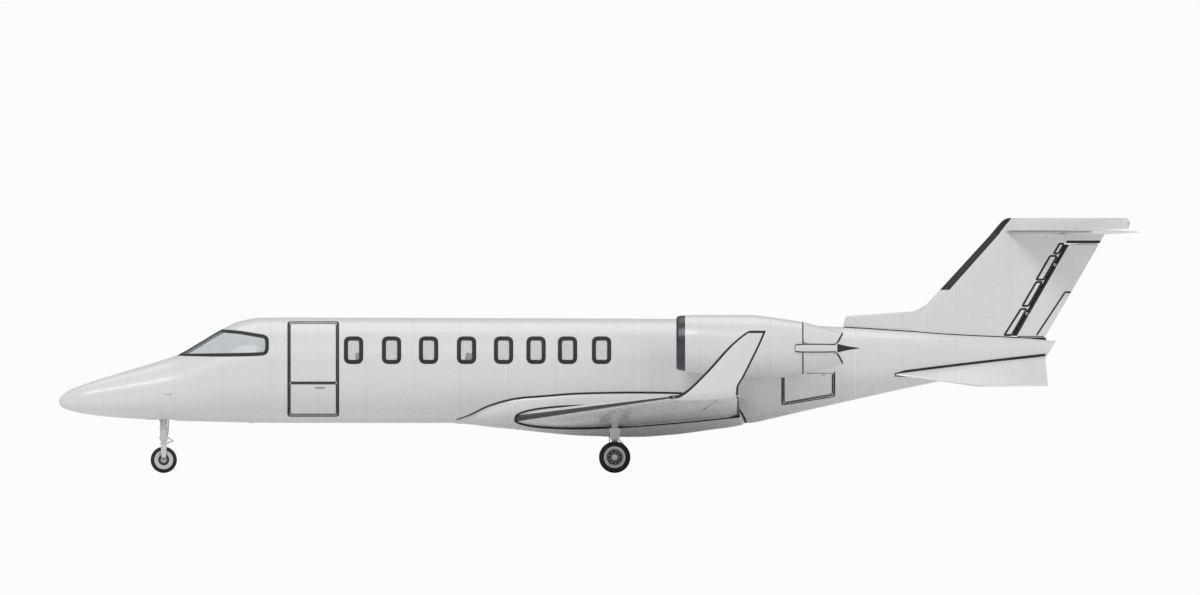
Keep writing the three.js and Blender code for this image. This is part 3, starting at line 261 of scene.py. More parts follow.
def brushed(name, colour, roughness, grain_scale, grain=0.12, metallic=1.0):
    """Turned or brushed metal: fine stretched grain in the tone, roughness and height."""
    material, tree, shader, place = new_material(name, colour, roughness, metallic)
    lines = noise(tree, stretched(tree, place, grain_scale), 40.0, 6.0)
    drift = ranged(tree, noise(tree, place, 14.0, 4.0), 0.3, 0.7, roughness * 0.8, roughness * 1.25)
    fill(tree, shader, {"Base Color": scaled(tree, colour, ranged(tree, lines, 0.3, 0.7, 1 - grain, 1.0)),
                        "Roughness": drift})
    bumped(tree, shader, lines, 0.0004, 0.3)
    return material


def moulded(name, colour, roughness, grain_size, depth, vary=0.1, **values):
    """Moulded, woven or rubbery stuff: cellular grain in the height and a slow drift of tone."""
    material, tree, shader, place = new_material(name, colour, roughness, **values)
    cells = node(tree, "TexVoronoi", {"Vector": place, "Scale": 1 / grain_size})
    drift = ranged(tree, noise(tree, place, 5.0, 5.0), 0.3, 0.7)
    rough = ranged(tree, noise(tree, place, 25.0, 3.0), 0.3, 0.7, roughness * 0.85, min(1.0, roughness * 1.1))
    fill(tree, shader, {"Base Color": mixed(tree, drift, opaque(colour, 1 - vary), opaque(colour)),
                        "Roughness": rough})
    bumped(tree, shader, cells.outputs["Distance"], depth, 0.5)
    return material


def clear(name, colour, roughness, alpha, smudge=0.03):
    """Clear panes: mostly see-through, with faint smudges in the roughness and a gloss of their own."""
    material, tree, shader, place = new_material(name, colour, roughness, IOR=1.49, Transmission_Weight=0.0)
    smudges = noise(tree, place, 7.0, 5.0)
    fill(tree, shader, {"Roughness": ranged(tree, smudges, 0.35, 0.7, roughness, roughness + smudge),
                        "Alpha": ranged(tree, smudges, 0.3, 0.8, alpha, alpha + 0.05)})
    return material


def lens(name, colour):
    """A small coloured lens over a lamp, with moulded ribs."""
    material, tree, shader, place = new_material(name, colour, 0.12, Coat_Weight=1.0, Coat_Roughness=0.05)
    ribs = noise(tree, stretched(tree, place, (4, 4, 220)), 1.0, 1.0)
    fill(tree, shader, {"Base Color": mixed(tree, ribs, opaque(colour, 0.7), opaque(colour))})
    bumped(tree, shader, ribs, 0.0008)
    return material


WHITE = (0.86, 0.865, 0.87)
BODY_PAINT = paint("body_paint", WHITE, 0.78, dirt=0.07, dirt_top=1.0, dirt_foot=0.62, offset=0.33)
SURFACE_PAINT = paint("surface_paint", WHITE, 0.62, dirt=0.02, along="Y", offset=0.31)
TAIL_PAINT = paint("tail_paint", WHITE, 0.9)
COWL_PAINT = paint("cowl_paint", WHITE, 1.16, dirt=0.10, dirt_top=1.75, dirt_foot=1.45, offset=0.1)
POLISHED = brushed("polished_edge", (0.60, 0.61, 0.63), 0.20, (30, 2, 2), 0.08)
DARK_LIP = brushed("dark_lip", (0.10, 0.10, 0.11), 0.34, (30, 2, 2), 0.2, metallic=0.8)
BARE_METAL = brushed("bare_metal", (0.50, 0.51, 0.53), 0.32, (3, 3, 40))
CHROME = brushed("oleo_chrome", (0.80, 0.80, 0.82), 0.10, (2, 2, 30), 0.04)
HOT_METAL = brushed("hot_metal", (0.23, 0.20, 0.17), 0.42, (4, 30, 30), 0.3)
BLADE_METAL = brushed("blade_metal", (0.36, 0.37, 0.40), 0.28, (8, 8, 30), 0.15)
WHEEL_WEB = brushed("wheel_web", (0.075, 0.077, 0.082), 0.42, (2, 30, 2), 0.2, metallic=0.5)
GEAR_PAINT = moulded("gear_paint", (0.76, 0.77, 0.77), 0.38, 0.006, 0.0001, 0.08, Coat_Weight=0.2)
DARK_SEAL = moulded("dark_seal", (0.018, 0.018, 0.020), 0.62, 0.004, 0.0002, 0.2)
BLACK_EDGE = moulded("black_edge", (0.022, 0.022, 0.024), 0.45, 0.01, 0.0001, 0.2)
TYRE_RUBBER = moulded("tyre_rubber", (0.020, 0.020, 0.021), 0.78, 0.006, 0.0004, 0.25)
LINING = moulded("cabin_lining", (0.80, 0.78, 0.73), 0.75, 0.008, 0.0002, 0.05)
CARPET = moulded("carpet", (0.36, 0.33, 0.29), 0.95, 0.004, 0.0015, 0.25)
LEATHER = moulded("seat_leather", (0.66, 0.58, 0.47), 0.48, 0.009, 0.0004, 0.12)
STITCH = moulded("seat_piping", (0.30, 0.24, 0.18), 0.6, 0.003, 0.0003, 0.1)
WOOD_TRIM = brushed("burr_trim", (0.22, 0.11, 0.05), 0.2, (2, 20, 8), 0.5, metallic=0.0)
DARK_PLASTIC = moulded("dark_plastic", (0.045, 0.046, 0.050), 0.55, 0.003, 0.0003, 0.1)
SCREEN = moulded("screen", (0.012, 0.02, 0.03), 0.12, 0.05, 0.00005, 0.3, Coat_Weight=0.6)
GLASS = clear("windshield_glass", (0.62, 0.70, 0.74), 0.04, 0.22)
PANE = clear("cabin_pane", (0.80, 0.84, 0.86), 0.05, 0.22)
CLEAR_LENS = lens("clear_lens", (0.82, 0.82, 0.80))

# Shape kit


def smooth_line(places, values):
    """Monotone cubic through the points.

    A point's slope is the weighted harmonic mean of the slopes beside it, or zero at a turn."""
    places, values = np.asarray(places, float), np.asarray(values, float)
    gap = np.diff(places)
    rise = np.diff(values) / gap
    slope = np.concatenate([rise[:1], np.zeros(len(places) - 2), rise[-1:]])
    same = rise[:-1] * rise[1:] > 0
    before, after = 2 * gap[1:] + gap[:-1], gap[1:] + 2 * gap[:-1]
    slope[1:-1][same] = (before + after)[same] / (before[same] / rise[:-1][same] + after[same] / rise[1:][same])

    def at(place):
        place = np.clip(place, places[0], places[-1])
        i = np.clip(np.searchsorted(places, place, side="right") - 1, 0, len(places) - 2)
        t, h = (place - places[i]) / gap[i], gap[i]
        return ((1 + 2 * t) * (1 - t) ** 2 * values[i] + t * (1 - t) ** 2 * h * slope[i]
                + t * t * (3 - 2 * t) * values[i + 1] + t * t * (t - 1) * h * slope[i + 1])
    return at


def smooth_table(rows, spread=lambda place: place):
    """The columns after the first as smooth lines of the first, which may be spread first."""
    data = np.array(rows, float)
    lines = [smooth_line(spread(data[:, 0]), column) for column in data[:, 1:].T]
    return lambda place: [line(spread(np.asarray(place, float))) for line in lines]


def straight_table(rows):
    """The columns after the first as straight runs between rows."""
    data = np.array(rows, float)
    return lambda place: [np.interp(place, data[:, 0], column) for column in data[:, 1:].T]


def mix(a, b, t):
    return a + (b - a) * t


def points(*columns):
    """Coordinates of any matching shapes stacked into points."""
    return np.stack(np.broadcast_arrays(*columns), axis=-1).astype(float)


def unit(vectors):
    return vectors / np.maximum(np.linalg.norm(vectors, axis=-1, keepdims=True), 1e-12)


def power(value, soft):
    """The value's size raised to a power, with its sign kept."""
    return np.sign(value) * np.abs(value) ** soft


def around(count, start=0.0):
    """A full turn in even steps, as a row of angles."""
    return np.linspace(start, start + 2 * np.pi, count, endpoint=False)[None]


def values_of(items, name, width=1, kind=np.float32):
    flat = np.empty(len(items) * width, kind)
    items.foreach_get(name, flat)
    return flat.reshape(-1, width) if width > 1 else flat


def new_mesh(corners, faces, marks, weld=False):
    """A mesh with a material index for each face, its faces turned outwards and its meeting edges welded."""
    mesh = bpy.data.meshes.new("part")
    mesh.from_pydata(corners.tolist(), [], faces)
    mesh.polygons.foreach_set("material_index", marks.astype(np.int32))
    for _ in range(3):
        mesh.materials.append(None)
    work = bmesh.new()
    work.from_mesh(mesh)
    if weld:
        bmesh.ops.remove_doubles(work, verts=work.verts, dist=2e-5)
        bmesh.ops.dissolve_degenerate(work, edges=work.edges, dist=1e-5)
    bmesh.ops.recalc_face_normals(work, faces=work.faces)
    work.to_mesh(mesh)
    work.free()
    return mesh


def closed(*sheets):
    """A closed mesh from grids of points: (grid, rows joined, columns joined, material index).

    Neighbouring points make four-cornered faces; edges that meet are merged and faces turned outwards."""
    stack, faces, marks, base = [], [], [], 0
    for grid, join_rows, join_cols, mark in sheets:
        rows, cols = grid.shape[:2]
        index = base + np.arange(rows * cols).reshape(rows, cols)
        if join_rows:
            index = np.vstack([index, index[:1]])
        if join_cols:
            index = np.hstack([index, index[:, :1]])
        corners = (index[:-1, :-1], index[:-1, 1:], index[1:, 1:], index[1:, :-1])
        faces.append(np.stack(corners, axis=-1).reshape(-1, 4))
        marks.append(np.broadcast_to(mark, (index.shape[0] - 1, index.shape[1] - 1)).reshape(-1))
        stack.append(grid.reshape(-1, 3))
        base += rows * cols
    return new_mesh(np.concatenate(stack), np.concatenate(faces).tolist(), np.concatenate(marks), weld=True)


def cap(ring, mark=0):
    """A fan from a ring to its middle."""
    middle = np.broadcast_to(ring.mean(0), ring.shape)
    return np.stack([ring, middle]), False, True, mark


def capped(grid, mark=0, ends=None):
    """A tube of rings, closed at both ends."""
    if ends is None:
        ends = (mark, mark) if np.isscalar(mark) else (0, 0)
    return closed((grid, False, True, mark), cap(grid[0], ends[0]), cap(grid[-1], ends[1]))


def walled(outer, inner):
    """The wall between two tubes of rings: its outside, inside and both rims take the marks 0, 1 and 2."""
    rims = [(np.stack([outer[end], inner[end]]), False, True, 2) for end in (0, -1)]
    return closed((outer, False, True, 0), (inner, False, True, 1), *rims)


def slab(outer, inner, marks):
    """A thick patch between two matching grids, with its rim."""
    face, back, rim = marks
    edges = [np.stack([outer[0], inner[0]]), np.stack([outer[-1], inner[-1]]),
             np.stack([outer[:, 0], inner[:, 0]]), np.stack([outer[:, -1], inner[:, -1]])]
    return closed((outer, False, False, face), (inner, False, False, back), *[(e, False, False, rim) for e in edges])


def pipe(path, radius, sides=14, mark=0):
    """A round bar along a path: each ring stands square to the path, with its own radius."""
    path = np.asarray(path, float)
    ahead = unit(np.gradient(path, axis=0))
    guide = np.array([0.0, 0.0, 1.0]) if abs(ahead[:, 2]).max() < 0.9 else np.array([0.0, 1.0, 0.0])
    if abs(ahead @ guide).max() > 0.97:
        guide = np.array([1.0, 0.0, 0.0])
    side = unit(np.cross(ahead, guide))
    up = np.cross(side, ahead)
    turn = around(sides)[..., None]
    radii = np.broadcast_to(radius, len(path))[:, None, None]
    return capped(path[:, None] + radii * (side[:, None] * np.cos(turn) + up[:, None] * np.sin(turn)), mark)


def rod(start, end, radius, sides=16, mark=0):
    """A straight round bar with slightly eased ends."""
    start, end = np.asarray(start, float), np.asarray(end, float)
    ease = min(radius * 0.25, np.linalg.norm(end - start) * 0.2)
    ahead = unit(end - start)
    path = np.stack([start, start + ahead * ease, end - ahead * ease, end])
    return pipe(path, np.array([radius - ease, radius, radius, radius - ease]), sides, mark)


def pin(x, z, y0, y1, radius, sides=16, mark=0):
    """A round bar straight across the aeroplane."""
    return rod((x, y0, z), (x, y1, z), radius, sides, mark)


def lathe(profile, centre, axis="x", sides=48, marks=0, loop=False):
    """A profile of (radius, distance) turned about an axis; a loop is a ring, otherwise it ends on the axis."""
    profile = np.asarray(profile, float)
    turn = around(sides)
    radius, along = profile[:, :1], profile[:, 1:2] + 0 * turn
    first, second = radius * np.cos(turn), radius * np.sin(turn)
    order = {"x": (along, first, second), "y": (first, along, second), "z": (first, second, along)}[axis]
    marks = marks if np.isscalar(marks) else np.asarray(marks)[:len(profile) - (not loop), None]
    return closed((points(*order) + np.asarray(centre, float), loop, True, marks))


def block(centre, size, soft=0.3, rows=12, cols=24, mark=0):
    """A rounded block: the sines and cosines of a globe raised to the power `soft`."""
    up, turn = np.linspace(-np.pi / 2, np.pi / 2, rows)[:, None], around(cols, -np.pi)
    wide = power(np.cos(up), soft)
    globe = points(wide * power(np.cos(turn), soft), wide * power(np.sin(turn), soft), power(np.sin(up), soft))
    return closed((globe * np.asarray(size) / 2 + np.asarray(centre), False, True, mark))


def moved(mesh, place):
    mesh.vertices.foreach_set("co", place.astype(np.float32).ravel())
    mesh.update()
    return mesh


def turned(mesh, centre, axis, degrees):
    """The mesh turned about a line through a centre."""
    place = values_of(mesh.vertices, "co", 3).astype(float) - centre
    axis, angle = unit(np.asarray(axis, float)), math.radians(degrees)
    place = (place * math.cos(angle) + np.cross(axis, place) * math.sin(angle)
             + np.outer(place @ axis, axis) * (1 - math.cos(angle)))
    return moved(mesh, place + centre)


def mirrored(mesh, sign=-1):
    """The mesh on its own side, or on the other with its faces turned round."""
    if sign > 0:
        return mesh
    mesh.flip_normals()
    return moved(mesh, values_of(mesh.vertices, "co", 3) * np.float32((1, -1, 1)))


def paired(*meshes):
    """Meshes of the right side and their mirrored copies."""
    return [*meshes, *[mirrored(mesh.copy()) for mesh in meshes]]


def moulding(path, outward, section, joined=True, mark=0):
    """A bar whose section of (across, proud) points is carried along a path on a surface."""
    steps = np.roll(path, -1, axis=0) - np.roll(path, 1, axis=0) if joined else np.gradient(path, axis=0)
    across = unit(np.cross(outward, unit(steps)))
    section = np.asarray(section, float)
    grid = path[:, None] + across[:, None] * section[None, :, :1] + outward[:, None] * section[None, :, 1:]
    return closed((grid, True, True, mark)) if joined else capped(grid, mark)


def flat_bar(width, proud, sunk=0.002):
    """Section of a flat strip with softened upper corners."""
    w = width / 2
    return [(-w, -sunk), (-w, proud * 0.6), (-w * 0.8, proud), (w * 0.8, proud), (w, proud * 0.6), (w, -sunk)]


def rounded(outline, radius, steps=7):
    """An outline with each corner replaced by a parabola between points cut back along its edges."""
    outline = np.asarray(outline, float)
    radius = np.broadcast_to(radius, len(outline))
    t = np.linspace(0, 1, steps)[:, None]
    before, after = np.roll(outline, 1, axis=0), np.roll(outline, -1, axis=0)
    arcs = []
    for corner, start, end, r in zip(outline, before, after, radius):
        a, b = corner + unit(start - corner) * r, corner + unit(end - corner) * r
        arcs.append((1 - t) ** 2 * a + 2 * t * (1 - t) * corner + t ** 2 * b)
    return np.concatenate(arcs)


def filled_in(outline, step, joined=True):
    """The outline with points every step along its edges."""
    ends = np.vstack([outline, outline[:1]]) if joined else np.asarray(outline, float)
    run = np.concatenate([[0], np.cumsum(np.linalg.norm(np.diff(ends, axis=0), axis=1))])
    keep = np.concatenate([[True], np.diff(run) > 1e-9])
    ends, run = ends[keep], run[keep]
    at = np.linspace(0, run[-1], max(4, int(run[-1] / step)), endpoint=not joined)
    return np.stack([np.interp(at, run, column) for column in ends.T], axis=-1)


def prism(outline, low, high, plane="xz", mark=2):
    """A straight-sided solid: an outline in one plane carried along the third axis."""
    a, b = np.asarray(outline, float).T
    ends = [points(a, value, b) if plane == "xz" else points(a, b, value) for value in (low, high)]
    count = len(a)
    faces = [list(range(count)), list(range(count, 2 * count))[::-1]]
    faces += [[i, (i + 1) % count, count + (i + 1) % count, count + i] for i in range(count)]
    return new_mesh(np.concatenate(ends), faces, np.full(len(faces), mark))


def plate(corners, corner_radius, half, y=0.0, mark=0):
    """A flat plate with rounded corners, standing along the aeroplane."""
    return prism(rounded(corners, corner_radius), y - half, y + half, mark=mark)


def joined_mesh(meshes):
    """Several meshes as one, with their material indices kept."""
    work = bmesh.new()
    for mesh in meshes:
        work.from_mesh(mesh)
    together = bpy.data.meshes.new("together")
    for _ in range(3):
        together.materials.append(None)
    work.to_mesh(together)
    work.free()
    return together


def carve(mesh, cutters, keep="DIFFERENCE"):
    """The mesh less the cutters, or the part of it inside them; cut faces take the cutters' material index."""
    body, tool = added("carved", mesh), added("cutter", joined_mesh(cutters))
    cut = body.modifiers.new("cut", "BOOLEAN")
    cut.operation, cut.object, cut.solver = keep, tool, "EXACT"
    shaped = body.evaluated_get(bpy.context.evaluated_depsgraph_get())
    result = bpy.data.meshes.new_from_object(shaped)
    for thing in (body, tool):
        bpy.data.objects.remove(thing)
    return result


def follow_surface(mesh, normal_at, limit=0.8):
    """Shades each corner with the surface's own normal where its face lies along the surface, and flat elsewhere."""
    corner_vertex = values_of(mesh.loops, "vertex_index", kind=np.int32)
    place = values_of(mesh.vertices, "co", 3)[corner_vertex].astype(float)
    size = values_of(mesh.polygons, "loop_total", kind=np.int32)
    face = np.repeat(values_of(mesh.polygons, "normal", 3), size, axis=0).astype(float)
    own = unit(normal_at(place))
    along = (own * face).sum(1)
    chosen = np.where((np.abs(along) > limit)[:, None], own * np.sign(along)[:, None], face)
    mesh.normals_split_custom_set(chosen.tolist())


SIDES = (("right", 1.0), ("left", -1.0))
AIRFRAME = "airframe"


def piece(name, meshes, materials, body=AIRFRAME, node_name=None, sharp=35, surface=None):
    """One shown piece from closed meshes, riding on a body and standing for a CAD node."""
    mesh = joined_mesh(meshes if isinstance(meshes, list) else [meshes])
    marks = values_of(mesh.polygons, "material_index", kind=np.int32)
    mesh.materials.clear()
    for material in materials:
        mesh.materials.append(material)
    mesh.polygons.foreach_set("material_index", np.minimum(marks, len(materials) - 1))
    mesh.shade_smooth()
    if surface:
        follow_surface(mesh, surface)
    else:
        mesh.set_sharp_from_angle(angle=math.radians(sharp))
    made = added(name, mesh)
    mesh.name = name
    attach(made, body)
    if node_name:
        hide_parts(node_name)
    return made


def both(name, meshes, materials, body=AIRFRAME, node_name=None, sharp=35):
    """A piece of the right side and its mirrored copy; a moving body and the CAD node carry the side's name too."""
    parts = meshes if isinstance(meshes, list) else [meshes]
    for label, sign in SIDES:
        piece(f"{name}_{label}", [mirrored(part.copy(), sign) for part in parts], materials,
              body if body == AIRFRAME else f"{body}_{label}", node_name and f"{node_name}_{label}", sharp)


def dark(name, meshes, body=AIRFRAME, sharp=50):
    """A seal or trim of dark rubber."""
    piece(name, meshes, [DARK_SEAL], body, sharp=sharp)


def metal(name, meshes, body=AIRFRAME):
    piece(name, meshes, [BARE_METAL], body)

# Fuselage
NOSE_TIP = -8.864
FUSELAGE = [  # x, top, bottom, half width
    (-8.864, 1.165, 1.165, 0.0), (-8.815, 1.268, 1.082, 0.100), (-8.684, 1.361, 1.025, 0.188),
    (-8.520, 1.427, 0.984, 0.248), (-8.192, 1.541, 0.935, 0.325), (-7.864, 1.640, 0.905, 0.405),
    (-7.208, 1.837, 0.869, 0.560), (-6.880, 1.953, 0.853, 0.635), (-6.552, 2.140, 0.845, 0.705),
    (-6.191, 2.353, 0.836, 0.775), (-5.896, 2.490, 0.830, 0.825), (-5.535, 2.546, 0.823, 0.857),
    (-5.240, 2.549, 0.821, 0.861), (-2.000, 2.540, 0.820, 0.861), (1.320, 2.526, 0.820, 0.861),
    (2.468, 2.468, 0.822, 0.826), (2.796, 2.452, 0.886, 0.790), (3.288, 2.427, 1.000, 0.730),
    (4.272, 2.378, 1.222, 0.590), (4.928, 2.337, 1.369, 0.480), (6.896, 2.222, 1.768, 0.200),
    (7.487, 2.165, 1.890, 0.130)]
RADOME_END, COCKPIT_FRONT, DOOR_FRAME, CABIN_END, CONE_START = -8.2, -6.9, -5.24, 0.64, 4.2
TAIL_TOP, TAIL_FOOT = (7.487, 2.165), (7.298, 1.853)  # x, z of the tail's slanted end
WALL, BAY_WALL = 0.07, 0.036
JOINT = 0.0012  # half of a butt joint between fuselage sections
REACH, LEAST = 1.2, 1e-3  # from the middle to past the skin; the least half width to divide by
LEFT = (-REACH, 0)
fuselage_lines = smooth_table(FUSELAGE, lambda x: np.sqrt(np.maximum(x - NOSE_TIP, 0)))
full_turn = around(112)


def skin(x, turn, inset=0.0):
    """Fuselage skin: at a station the section is an ellipse; turn runs from the crown towards the right side."""
    top, bottom, half = fuselage_lines(x)
    middle, height = (top + bottom) / 2, (top - bottom) / 2 - inset
    return points(x, (half - inset) * np.sin(turn), middle + height * np.cos(turn))


def side_y(x, z, inset=0.0):
    """How far out the skin stands: half width times the root of one less the squared height share."""
    top, bottom, half = fuselage_lines(x)
    share = (z - (top + bottom) / 2) / ((top - bottom) / 2 - inset)
    return (half - inset) * np.sqrt(np.maximum(1 - share ** 2, 0))


def skin_z(x, y):
    """How high the skin stands beside the crown, from the same ellipse."""
    top, bottom, half = fuselage_lines(x)
    return (top + bottom) / 2 + (top - bottom) / 2 * np.sqrt(np.maximum(1 - (y / half) ** 2, 0))


def skin_normal(place, step=0.004):
    """Gradient of the ellipse equation, with the change along x by a small difference."""
    x, y, z = place.T

    def oval(x):
        top, bottom, half = fuselage_lines(x)
        return z - (top + bottom) / 2, np.maximum((top - bottom) / 2, LEAST), np.maximum(half, LEAST)

    def level(x):
        up, height, half = oval(x)
        return (y / half) ** 2 + (up / height) ** 2
    up, height, half = oval(x)
    return points((level(x + step) - level(x - step)) / (2 * step), 2 * y / half ** 2, 2 * up / height ** 2)


def on_skin(outline, side, lift=0.0):
    """Points of a side-view outline brought onto the skin, and the skin's normals there."""
    x, z = np.asarray(outline, float).T
    place = points(x, side * side_y(x, z), z)
    outward = unit(skin_normal(place))
    return place + outward * lift, outward


def on_left(run, section, joined=True, lift=0.0):
    """A strip along a line on the left side's skin."""
    return moulding(*on_skin(run, -1.0, lift), section, joined)


def level_run(x0, x1, z, count):
    """Points along a level line, as x and z."""
    return np.stack([np.linspace(x0, x1, count), np.full(count, z)], axis=-1)


def shell(stations, outer, inner, columns=112):
    """The wall between two insets of the skin, open at both ends."""
    x = np.asarray(stations, float)[:, None]
    return walled(skin(x, around(columns), outer), skin(x, around(columns), inner))


def bulkhead(x, thickness, inset):
    """A round wall across the fuselage."""
    return capped(skin(np.array([[x], [x + thickness]]), around(64), inset), 1)


def hollow(x0, x1, count, inset, mark=1):
    """The room inside the skin between two stations."""
    return capped(skin(np.linspace(x0, x1, count)[:, None], full_turn, inset), mark)


def skinned(name, meshes, node_name, body=AIRFRAME, materials=(BODY_PAINT, LINING, DARK_SEAL)):
    """A piece whose shading follows the fuselage's skin."""
    piece(name, meshes, materials, body, node_name, surface=skin_normal)


def beyond(sign, near):
    """From beside the middle out past the skin of one side."""
    return (near, REACH) if sign > 0 else (-REACH, -near)


radome_rows = NOSE_TIP + (RADOME_END - JOINT - NOSE_TIP) * np.linspace(0, 1, 40) ** 2
radome = capped(skin(radome_rows[:, None], full_turn))
skinned("radome_skin", radome, "radome", materials=[BODY_PAINT])

# Windshields: one wraparound pane each side of a centre post
POST = 0.036
GLASS_OUTLINE = rounded([
    (-6.945, 1.937), (-6.191, 1.935), (-5.732, 1.943), (-5.453, 1.958), (-5.453, 2.235), (-5.896, 2.312),
    (-6.191, 2.337), (-6.240, 2.420), (-6.945, 2.040)], [0.01, 0.05, 0.1, 0.09, 0.07, 0.1, 0.02, 0.01, 0.01])
GLASS_MIDDLE = (-6.02, 2.13)
NOSE_BAY = [(-7.42, -0.13), (-6.96, -0.13), (-6.96, 0.13), (-7.42, 0.13)]
BAY_INSIDE = [(-7.41, -0.12), (-6.97, -0.12), (-6.97, 0.12), (-7.41, 0.12)]
windshield_holes = [prism(GLASS_OUTLINE, *beyond(sign, POST)) for _, sign in SIDES]
front_rows = mix(RADOME_END + JOINT, DOOR_FRAME - JOINT, np.linspace(0, 1, 60))
front_skin = carve(shell(front_rows, 0, WALL), windshield_holes + [prism(NOSE_BAY, 0.7, 1.0, "xy")])
skinned("front_skin", [front_skin, bulkhead(COCKPIT_FRONT, -0.02, WALL - 0.005)], "forward_fuselage")
bay_box = carve(prism(rounded(NOSE_BAY, 0.005), 0.875, 1.245, "xy", 0),
                [prism(rounded(BAY_INSIDE, 0.02), 0.8, 1.235, "xy", 0)])
piece("nose_bay_liner", bay_box, [GEAR_PAINT])


def windshield_frame(sign):
    """The frame's path: the glass outline as far as the post, then down the post."""
    outline = filled_in(GLASS_OUTLINE, 0.03)
    crown = fuselage_lines(outline[:, 0])[0]
    y_here = side_y(outline[:, 0], np.minimum(outline[:, 1], crown))
    run = outline[(outline[:, 1] < crown) & (y_here > POST)]
    run = run[np.argsort(np.arctan2(run[:, 1] - GLASS_MIDDLE[1], run[:, 0] - GLASS_MIDDLE[0]))]
    start = int(np.argmax(np.linalg.norm(np.roll(run, -1, axis=0) - run, axis=1))) + 1
    run = np.roll(run, -start, axis=0)
    flank, flank_out = on_skin(run, sign)
    post_x = np.linspace(run[-1, 0], run[0, 0], 26)[1:-1]
    post = points(post_x, sign * POST, skin_z(post_x, POST))
    path, outward = np.vstack([flank, post]), np.vstack([flank_out, unit(skin_normal(post))])
    return moulding(path, outward, flat_bar(0.060, 0.004, 0.02))


glass_rows = np.linspace(-6.99, -5.40, 50)
for label, sign in SIDES:
    opening = prism(GLASS_OUTLINE, *beyond(sign, POST + 0.004), mark=1)
    pane = carve(shell(glass_rows, 0.004, 0.020, 160), [opening], "INTERSECT")
    skinned(f"windshield_pane_{label}", pane, f"windshield_{label}", materials=[GLASS])
    dark(f"windshield_frame_{label}", windshield_frame(sign))

# Cabin with its windows and doorway
WINDOW_X = [-4.034, -3.411, -2.804, -2.181, -1.574, -1.041, -0.525, 0.033]
WINDOW_Z, WINDOW_SIZE, WINDOW_CORNER = 2.017, (0.254, 0.396), 0.075
DOOR_X, DOOR_TOP, DOOR_FOOT, DOOR_SPLIT = (-5.092, -4.297), 2.468, 0.943, 1.476
FRAME_BAR = flat_bar(0.068, 0.004, 0.03)


def rectangle(x0, x1, z0, z1, corner=0.03):
    return rounded([(x0, z0), (x1, z0), (x1, z1), (x0, z1)], corner)


def window_outline(x, grow):
    w, h = WINDOW_SIZE[0] / 2 + grow, WINDOW_SIZE[1] / 2 + grow
    return rectangle(x - w, x + w, WINDOW_Z - h, WINDOW_Z + h, WINDOW_CORNER + grow)


def window_prism(x, grow, sign):
    return prism(window_outline(x, grow), *beyond(sign, 0.2), mark=1)


def door_outline(grow, low=DOOR_FOOT, high=DOOR_TOP, corner=0.02):
    """A rectangle as wide as the doorway, or wider by an amount at each side."""
    return rectangle(DOOR_X[0] - grow, DOOR_X[1] + grow, low, high, corner)


cabin_rows = np.linspace(DOOR_FRAME + JOINT, CABIN_END - JOINT, 40)
window_holes = [window_prism(x, 0, sign) for x in WINDOW_X for _, sign in SIDES]
cabin_skin = carve(shell(cabin_rows, 0, WALL), window_holes + [prism(door_outline(0), *LEFT)])
skinned("cabin_skin", [cabin_skin, bulkhead(CABIN_END - 0.09, 0.02, WALL - 0.005)], "cabin_shell")
for label, sign in SIDES:
    openings = [window_prism(x, 0.002, sign) for x in WINDOW_X]
    panes = carve(shell(cabin_rows, 0.006, 0.018, 160), openings, "INTERSECT")
    skinned(f"cabin_panes_{label}", panes, f"window_row_{label}", materials=[PANE])
    dark(f"window_frames_{label}",
         [moulding(*on_skin(filled_in(window_outline(x, -0.002), 0.02), sign), FRAME_BAR) for x in WINDOW_X])

# Cabin door halves, the seal they close on, and the steps in the lower half
DOOR_GAP, FOOT_GAP = 0.009, 0.015  # the lower half needs more room at its foot to swing down
DOOR_MIDDLE, DOOR_OPEN = sum(DOOR_X) / 2, 98  # degrees
HALVES = {"upper": (DOOR_SPLIT + DOOR_GAP / 2, DOOR_TOP - DOOR_GAP),
          "lower": (DOOR_FOOT + FOOT_GAP, DOOR_SPLIT - DOOR_GAP / 2)}
SEAL_BAR = [(-0.030, -0.012), (-0.030, 0.0), (0.012, 0.0), (0.012, -0.012)]
SPLIT_BAR = [(-0.004, -0.05), (-0.004, 0.0), (0.012, 0.0), (0.012, -0.05)]
FRAME_STRIP, DOOR_STRIP = flat_bar(0.026, 0.002, 0.006), flat_bar(0.018, 0.002, 0.006)  # dark trim beside a gap
X_AXIS, Y_AXIS = (1.0, 0.0, 0.0), (0.0, 1.0, 0.0)
OUTER_SPANS, MIDDLE_SPAN = ((-0.072, -0.0315), (0.0315, 0.072)), ((-0.0295, 0.0295),)
HINGE_X = (-4.93, -4.46)
UPPER_HINGE, LOWER_HINGE = (-4.6945, -0.35694, 2.4655), (-4.6945, -0.43124, 0.9455)


def knuckles(hinges, axis, spans, radius=0.011):
    """Hinge barrels along a line through each hinge."""
    axis = unit(np.asarray(axis, float))
    return [rod(at + axis * low, at + axis * high, radius, 14, 2) for at in hinges for low, high in spans]


def hinge_points(hinge):
    return [np.array((x, hinge[1], hinge[2])) for x in HINGE_X]


